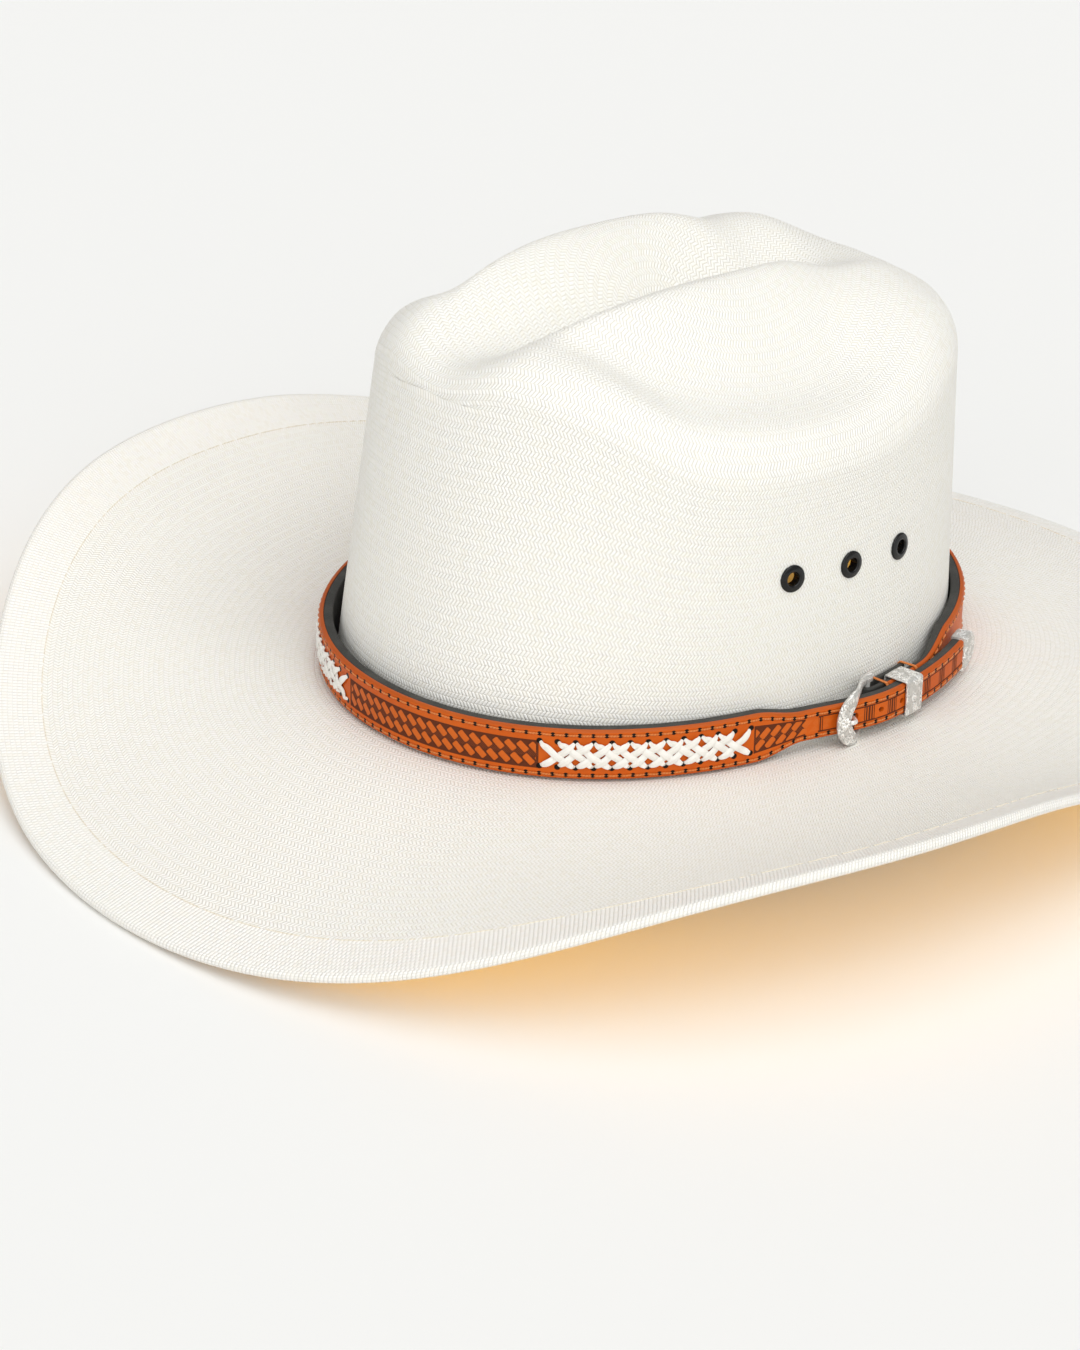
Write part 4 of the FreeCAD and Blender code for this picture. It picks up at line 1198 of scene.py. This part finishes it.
def leather_face():
    """Tooled leather with rounded edges; columns run along the strap, rows up it."""
    columns = band_columns(BILLET_END, BAR_ANGLE - 360 + 4, 0.5)
    edge = [0.0, 0.12, 0.3, 0.6, 1.0]   # rows lie closer together where the edges round off
    outer, inner = [], []
    rows = 28
    for i in range(rows + 1):
        outer_row, inner_row = [], []
        for d in columns:
            _, joint, face, height = band_layers(d)
            if i <= 4:
                v = -height / 2 + edge[i]
            elif i >= rows - 4:
                v = height / 2 - edge[rows - i]
            else:
                v = mix(-height / 2 + 1.0, height / 2 - 1.0, (i - 4) / (rows - 8))
            from_edge = height / 2 - abs(v)
            drop = 0.55 * max(0.0, 1 - from_edge / 0.6) ** 2
            swell = 0.12 * math.sin(math.pi * clamp(from_edge / 3.0))
            a = math.radians(d)
            outer_row.append(beside_crown(a, face - drop + swell, BAND_MID + v))
            inner_row.append(beside_crown(a, joint + 0.02, BAND_MID + v))
        outer.append(outer_row)
        inner.append(inner_row)
    halves = [band_layers(d)[3] / 2 for d in columns]
    lengths = [band_length(d) for d in columns]

    def place(i, j, a, b):
        return lengths[b], (outer[a][b].z - BAND_MID)

    shape = Shape()
    shape.slab(outer, inner, False, place, lambda i, j: (halves[j], 0.0), strap_holes())
    shape.piece("tooled_face", "hatband", FACE_FINISH, ["band_face"])


def rounded_section(low_in, low_out, high_out, high_in, radius):
    """Ring of points round a four-cornered section with its corners rounded."""
    corners = [low_in, low_out, high_out, high_in]
    ring = []
    for k, corner in enumerate(corners):
        before, after = corners[k - 1], corners[(k + 1) % 4]
        to_before = (before - corner).normalized() * radius
        to_after = (after - corner).normalized() * radius
        for t in (0.0, 0.33, 0.67, 1.0):
            ring.append(corner + to_before * (1 - t) ** 2 + to_after * t ** 2)
    return ring


def leather_lining():
    """Black backing leather, folded round the buckle bar and back under itself."""
    stations = []

    def section(degrees, inner, outer, height):
        a = math.radians(degrees)
        low, high = BAND_MID - height / 2, BAND_MID + height / 2
        return rounded_section(beside_crown(a, inner, low), beside_crown(a, outer, low),
                               beside_crown(a, outer, high), beside_crown(a, inner, high), 0.45)

    for d in band_columns(BILLET_END, BAR_ANGLE - 360 + 1.0, 1.0):
        inner, joint, _, height = band_layers(d)
        stations.append(section(d, inner, joint, height - 0.1))
    bar = beside_crown(math.radians(BAR_ANGLE), BAR_OFFSET, BAND_MID)
    nx, ny = outward(math.radians(BAR_ANGLE))
    near, far = BAR_RADIUS + 0.1, BAR_RADIUS + 0.1 + SKIVED
    up = Vector((0, 0, STRAP_HEIGHT / 2))
    for turn in range(0, 181, 15):
        a = math.radians(turn)
        way = Vector((nx, ny, 0)) * math.cos(a) + Vector((ny, -nx, 0)) * math.sin(a)
        stations.append(rounded_section(bar + way * near - up, bar + way * far - up,
                                        bar + way * far + up, bar + way * near + up, 0.45))
    for i in range(1, 15):
        stations.append(section(mix(BAR_ANGLE, TAIL_END, i / 14), TAIL_OFFSET + SKIVED, TAIL_OFFSET,
                                STRAP_HEIGHT))
    shape = Shape()
    shape.loft(stations)
    thing = shape.piece("black_lining", "hatband", LINING_FINISH, ["band_lining"], sharp=50)
    cutters = []
    holes = strap_holes()
    for centre, axis, radius in holes[1:]:
        cutters.append(Shape())
        cutters[-1].tube([centre - axis * 4.6, centre + axis * 3], radius, 24)
    centre, axis, radius = holes[0]
    rear, out = Vector((-ny, nx, 0)), Vector((nx, ny, 0))
    at_hole = [centre + rear * u + axis * w
               for u, w in ((-1.5, -5.3), (-1.5, 3.0), (4.2, 3.0), (4.2, -5.3))]
    at_bar = [bar + rear * u + out * w
              for u, w in ((-4.4, -3.4), (-4.4, 5.2), (2.6, 5.2), (2.6, -3.4))]
    for outline, half in ((at_hole, radius), (at_bar, 1.8)):
        up = Vector((0, 0, half))
        cutters.append(Shape())
        cutters[-1].loft([[p - up for p in outline], [p + up for p in outline]])
    cut_away(thing, cutters)


def edge_stitching(name, node, sign):
    """Row of separate stitches, each bridging two holes."""
    shape = Shape()
    first = math.ceil(band_length(BAR_ANGLE - 360 + 6) / STITCH_PITCH)
    last = math.floor(band_length(BILLET_END - 1) / STITCH_PITCH)
    rng = random.Random(7 + sign)
    for k in range(first, last):
        tilt = rng.uniform(-0.12, 0.12)
        path = []
        for i in range(8):
            t = i / 7
            degrees = band_angle((k + 0.06 + 0.88 * t) * STITCH_PITCH)
            _, _, face, height = band_layers(degrees)
            lift = 0.34 * math.sin(math.pi * t) ** 0.6 - 0.16
            v = sign * (height / 2 - STITCH_INSET) + tilt * (t - 0.5) * 2
            path.append(beside_crown(math.radians(degrees), face + 0.05 + lift, BAND_MID + v))
        radii = [THREAD * (0.75 + 0.25 * math.sin(math.pi * i / 7)) for i in range(8)]
        shape.tube(path, radii, 7)
    shape.piece(name, "hatband", ORANGE_THREAD, [node])


def lacing(where, start):
    """White lace crossed through two rows of holes, over and under itself."""
    shape = Shape()
    low, high = LACE_ROWS
    rng = random.Random(where)
    for k in range(LACE_HOLES - 2):
        for rising in (False, True):
            sag = (-0.55 if k % 2 == 0 else 0.55) + rng.uniform(-0.12, 0.12)
            swing = rng.uniform(-0.15, 0.15)
            path, normals, widths = [], [], []
            for i in range(25):
                t = i / 24
                s = start + (k + 2 * t) * LACE_PITCH + swing * math.sin(math.pi * t)
                z = mix(low, high, t) if rising else mix(high, low, t)
                z += sag * math.sin(math.pi * t)
                weave = math.cos(4 * math.pi * t) * (-0.3 if rising else 0.3)
                ends = smooth(t / 0.1) * smooth((1 - t) / 0.1)
                degrees = band_angle(s)
                face = band_layers(degrees)[2]
                offset = face + mix(-0.55, 0.62 + weave, ends)
                nx, ny = outward(math.radians(degrees))
                path.append(beside_crown(math.radians(degrees), offset, z))
                normals.append(Vector((nx, ny, 0)))
                widths.append(LACE_WIDTH * mix(0.45, 1.0, smooth(t / 0.2) * smooth((1 - t) / 0.2)))
            ribbon(shape, path, widths, normals, LACE_THICK)
    shape.piece(f"rawhide_{where}", "hatband", LACE_FINISH, [f"lace_{where}"])


leather_face()
leather_lining()
edge_stitching("stitches_upper", "band_thread_upper", 1)
edge_stitching("stitches_lower", "band_thread_lower", -1)
for lace_name, lace_start in LACES.items():
    lacing(lace_name, lace_start)


# ---- buckle, tongue, keeper, loops and tip ----
BAR = beside_crown(math.radians(BAR_ANGLE), BAR_OFFSET, BAND_MID)
BUCKLE_ORIGIN, BUCKLE_REAR, BUCKLE_OUT = local_frame(BUCKLE_ANGLE)
BAR_U = (BAR - BUCKLE_ORIGIN).dot(BUCKLE_REAR)
BAR_W = (BAR - BUCKLE_ORIGIN).dot(BUCKLE_OUT)


def rounded_outline(half_height, low, high, radius, steps):
    """Ring of (height, distance out) round a strap, with rounded corners."""
    ring = []
    for sv, sw, start in ((1, 1, 0), (1, -1, 270), (-1, -1, 180), (-1, 1, 90)):
        cv = sv * (half_height - radius)
        cw = high - radius if sw > 0 else low + radius
        for i in range(steps + 1):
            a = math.radians(start + 90 - 90 / steps * i)
            ring.append((cv + radius * math.cos(a), cw + radius * math.sin(a)))
    return ring


def at_buckle(u, v, w):
    return BUCKLE_ORIGIN + BUCKLE_REAR * u + Vector((0, 0, v)) + BUCKLE_OUT * w


def buckle_path(turn):
    """Middle line of the C-shaped frame; turn runs from -1 at the lower arm's end to 1."""
    side = math.copysign(1, turn)
    reach = abs(turn)
    if reach > 0.55:
        return mix(0.0, BAR_U + 1.6, (reach - 0.55) / 0.45), side * ARM_V
    a = math.pi / 2 * (1 - reach / 0.55)
    return math.sin(a) * RIM_U, side * math.cos(a) * ARM_V


def buckle():
    """C-shaped engraved frame with a rope edge and a small flower, and the bar it turns on."""
    steps, sides = 120, 32
    rings = []
    for i in range(steps + 1):
        turn = mix(-1, 1, i / steps)
        u, v = buckle_path(turn)
        before, after = buckle_path(max(turn - 0.02, -1)), buckle_path(min(turn + 0.02, 1))
        du, dv = after[0] - before[0], after[1] - before[1]
        length = math.hypot(du, dv)
        side_u, side_v = -dv / length, du / length
        w = mix(BAR_W, RIM_W, smooth((BAR_U - u) / (BAR_U + 4.0)))
        half = mix(1.4, 2.9, smooth((1.5 - u) / 8.5))
        flute = 0.1 * math.cos(turn * 60) * smooth((abs(turn) - 0.5) / 0.1)
        rope = 0.09 * math.cos(turn * 170)
        ring = []
        for k in range(sides):
            a = 2 * math.pi * k / sides
            c, s = math.cos(a), math.sin(a)
            across = half * math.copysign(abs(c) ** 0.7, c)
            up = 0.9 * math.copysign(abs(s) ** 0.7, s)
            if s > 0.2:
                groove = 0.16 * math.exp(-((abs(across) - half * 0.66) / 0.16) ** 2)
                edge = smooth((abs(across) - half * 0.7) / 0.3) * rope
                up += edge - groove + flute * (1 - abs(c))
            ring.append(at_buckle(u + side_u * across, v + side_v * across, w + up))
        rings.append(ring)
    shape = Shape()
    shape.loft(rings)
    shape.engrave()
    petals = 8
    centre = at_buckle(RIM_U, 0, RIM_W + 0.95)
    for petal in range(petals):
        a = 2 * math.pi * (petal + 0.5) / petals
        way = BUCKLE_REAR * math.cos(a) + Vector((0, 0, math.sin(a)))
        path = [centre + way * (0.5 + 1.35 * t) + BUCKLE_OUT * (0.16 * math.sin(math.pi * t) - 0.1)
                for t in (i / 6 for i in range(7))]
        shape.tube(path, [0.12 + 0.3 * math.sin(math.pi * (0.15 + 0.8 * i / 6)) for i in range(7)], 8)
    shape.piece("engraved_frame", "buckle", SILVER, ["buckle_frame"], sharp=50)
    shape = Shape()
    foot = Vector((BAR.x, BAR.y, BAND_MID - ARM_V - 0.4))
    top = foot + Vector((0, 0, 2 * ARM_V + 0.8))
    shape.tube([foot, mix(foot, top, 0.3), mix(foot, top, 0.7), top], BAR_RADIUS, 20)
    shape.piece("buckle_pin_bar", "buckle", SILVER, ["buckle_bar"])


def tongue():
    """Ring on the bar, a shank under the strap, a step up through the hole and a tip on the rim."""
    hole_u = (beside_crown(math.radians(TONGUE_HOLE_ANGLE), 0, BAND_MID)
              - BUCKLE_ORIGIN).dot(BUCKLE_REAR) - 0.3
    rim_top = RIM_W + 0.95
    corners = [(BAR_U - BAR_RADIUS - 0.35, BAR_W), (hole_u + 2.4, 3.3), (hole_u, 4.6),
               (hole_u - 0.1, 8.6), (hole_u - 1.5, rim_top + 0.75), (RIM_U + 1.3, rim_top + 0.62)]
    path = []
    for a, b in zip(corners, corners[1:]):
        for t in (0.12, 0.5, 0.88):
            path.append(at_buckle(mix(a[0], b[0], t), 0, mix(a[1], b[1], t)))
    path = [at_buckle(corners[0][0], 0, corners[0][1])] + path + \
        [at_buckle(corners[-1][0], 0, corners[-1][1])]
    count = len(path)
    radii = [0.62 if i < count * 0.6 else 0.62 + 0.14 * math.sin(math.pi * (i / count - 0.6) / 0.4)
             for i in range(count)]
    radii[-1] = 0.35
    shape = Shape()
    shape.tube(path, radii, 16)
    sleeve = [(BAR_RADIUS + 0.06, -0.9), (BAR_RADIUS + 0.6, -0.9), (BAR_RADIUS + 0.75, -0.6),
              (BAR_RADIUS + 0.75, 0.6), (BAR_RADIUS + 0.6, 0.9), (BAR_RADIUS + 0.06, 0.9)]
    shape.turned(sleeve, BAR, Vector((0, 0, 1)), 32)
    shape.piece("silver_tongue", "tongue", SILVER, ["buckle_tongue"], divide=1)


def keeper():
    """Rectangular loop with rounded corners and an engraved, slightly crowned front."""
    origin, rear, out = local_frame(KEEPER_ANGLE)
    half, wall, radius = KEEPER_LENGTH / 2, 0.7, 1.0
    low = CHAPE_OFFSET - 0.6 - 0.55
    high = BILLET_OFFSET + LINING - 0.5 + FACE + 0.35 + wall
    top = STRAP_HEIGHT / 2 + 0.35 + wall

    def outline(shrink):
        rounding = max(radius - shrink, 0.25)
        return rounded_outline(top - shrink, low + shrink, high - shrink, rounding, 6)

    outside, inside = outline(0.0), outline(wall)
    stations = [(-half, 0.22), (-half + 0.1, 0.08), (-half + 0.3, 0.0), (-half + 0.9, 0.0),
                (-half + 1.0, 0.12), (-half + 1.15, 0.12), (-half + 1.25, 0.0)]
    stations += [(mix(-half + 1.5, half - 1.5, i / 8), -0.10 * math.sin(math.pi * i / 8))
                 for i in range(9)]
    stations += [(-u, inset) for u, inset in reversed(stations[:7])]

    def point(ring, k, u, inset):
        v, w = ring[k]
        middle = (low + high) / 2
        length = math.hypot(v, w - middle)
        v, w = v - v / length * inset, w - (w - middle) / length * inset
        return origin + rear * u + Vector((0, 0, v)) + out * w

    count = len(outside)
    outer = [[point(outside, k, u, inset) for k in range(count)] for u, inset in stations]
    inner = [[point(inside, k, u, -min(inset, 0.2)) for k in range(count)] for u, inset in stations]
    shape = Shape()
    shape.slab(outer, inner, True, lambda i, j, a, b: (stations[a][0], b * 0.6),
               lambda i, j: (1.0, 0.0))
    shape.piece("engraved_keeper", "keeper", SILVER, ["keeper"], sharp=40)


def stitched_loops():
    """Heavy thread round both layers of the chape, each side of the keeper."""
    for where, angle in zip(("front", "rear"), LOOP_ANGLES):
        origin, rear, out = local_frame(angle)
        near, far = 0.22, CHAPE_OFFSET + SKIVED + 1.0 + 0.25
        ring = [origin + Vector((0, 0, v)) + out * w
                for v, w in rounded_outline(STRAP_HEIGHT / 2 + 0.3, near, far, 0.9, 5)]
        shape = Shape()
        for shift in (-0.24, 0.24):
            path = [p + rear * shift for p in ring]
            shape.tube(path + path[:2], 0.24, 8)
        shape.piece(f"thread_loop_{where}", "hatband", ORANGE_THREAD, [f"chape_loop_{where}"])


def strap_tip():
    """Round-ended cap over the strap's free end, with a raised border and engraved middle."""
    origin, rear, out = local_frame(BILLET_END)
    inner, _, outer, _ = band_layers(BILLET_END)
    radius = STRAP_HEIGHT / 2 + 0.6
    straight = TIP_LENGTH - radius
    low, high = inner - 0.5, outer + 0.5

    def outline(shrink):
        r = radius - shrink
        front = -2.2 + shrink
        side = [(mix(front, straight, i / 6), -r) for i in range(7)]
        end = [(straight + r * math.cos(t), r * math.sin(t))
               for t in (math.radians(-90 + 180 * i / 24) for i in range(1, 24))]
        return side + end + [(u, -v) for u, v in reversed(side)]

    levels = [(0.3, low), (0.0, low + 0.35), (0.0, high - 0.4), (0.12, high - 0.15),
              (0.35, high), (0.75, high), (0.9, high - 0.16), (1.1, high - 0.16),
              (1.25, high + 0.04), (2.2, high + 0.14), (3.4, high + 0.2)]
    rings = [[origin + rear * u + Vector((0, 0, v)) + out * w for u, v in outline(shrink)]
             for shrink, w in levels]
    shape = Shape()
    shape.loft(rings)
    shape.engrave()
    shape.piece("engraved_tip", "hatband", SILVER, ["strap_tip"], sharp=40)


buckle()
tongue()
keeper()
stitched_loops()
strap_tip()


# ---- floor, light and camera ----
def floor():
    mesh = bpy.data.meshes.new("floor")
    size = 6.0
    mesh.from_pydata([(-size, -size, 0), (size, -size, 0), (size, size, 0), (-size, size, 0)], [],
                     [(0, 1, 2, 3)])
    f = Finish("paper_floor", 0.9, Specular_IOR_Level=0.1)
    f.colour((0.915, 0.915, 0.90), (f.noise(0.002, 2.0) * 0.3, (0.90, 0.90, 0.885)))
    mesh.materials.append(f.material)
    add_object("floor", mesh)


def direction(azimuth, elevation):
    """Unit vector towards a place in the studio; angles in degrees, azimuth 0 at the front."""
    a, e = math.radians(azimuth), math.radians(elevation)
    return Vector((math.sin(a) * math.cos(e), -math.cos(a) * math.cos(e), math.sin(e)))


def soft_light(name, azimuth, elevation, spread, strength):
    """Even light from a wide patch of the studio ceiling; angles in degrees."""
    data = bpy.data.lights.new(name, "SUN")
    data.energy, data.angle = strength, math.radians(spread)
    light = add_object(name, data)
    light.rotation_euler = direction(azimuth, elevation).to_track_quat("Z", "Y").to_euler()


def lights():
    soft_light("ceiling_light", 90, 72, 55, 1.0)
    soft_light("side_light", 75, 40, 60, 0.88)
    soft_light("front_light", 30, 18, 60, 0.70)
    world = bpy.data.worlds.new("studio")
    world.use_nodes = True
    world.node_tree.nodes["Background"].inputs[0].default_value = (1.0, 1.0, 0.99, 1)
    world.node_tree.nodes["Background"].inputs[1].default_value = 0.45
    bpy.context.scene.world = world
    bpy.context.scene.view_settings.view_transform = "Standard"


CAMERA_AZIMUTH, CAMERA_ELEVATION = 50.69, 26.41


def camera():
    """Long lens, front left of the hat and looking down on it."""
    azimuth, roll = math.radians(CAMERA_AZIMUTH), math.radians(0.72)
    distance, target = 1109.2, Vector((51.2, -86.2, 60.0))
    back = direction(CAMERA_AZIMUTH, CAMERA_ELEVATION)
    data = bpy.data.cameras.new("camera")
    data.sensor_width, data.lens = 36.0, 100.4
    data.clip_start, data.clip_end = 0.01, 50.0
    thing = add_object("camera", data)
    thing.location = (target + back * distance) * MM
    right = Vector((math.cos(azimuth), math.sin(azimuth), 0))
    up = back.cross(right)
    tilted = right * math.cos(roll) + up * math.sin(roll)
    above = up * math.cos(roll) - right * math.sin(roll)
    thing.rotation_mode = "QUATERNION"
    basis = Matrix((tilted, above, back)).transposed()
    thing.rotation_quaternion = basis.to_quaternion()
    bpy.context.scene.camera = thing


floor()
lights()
camera()
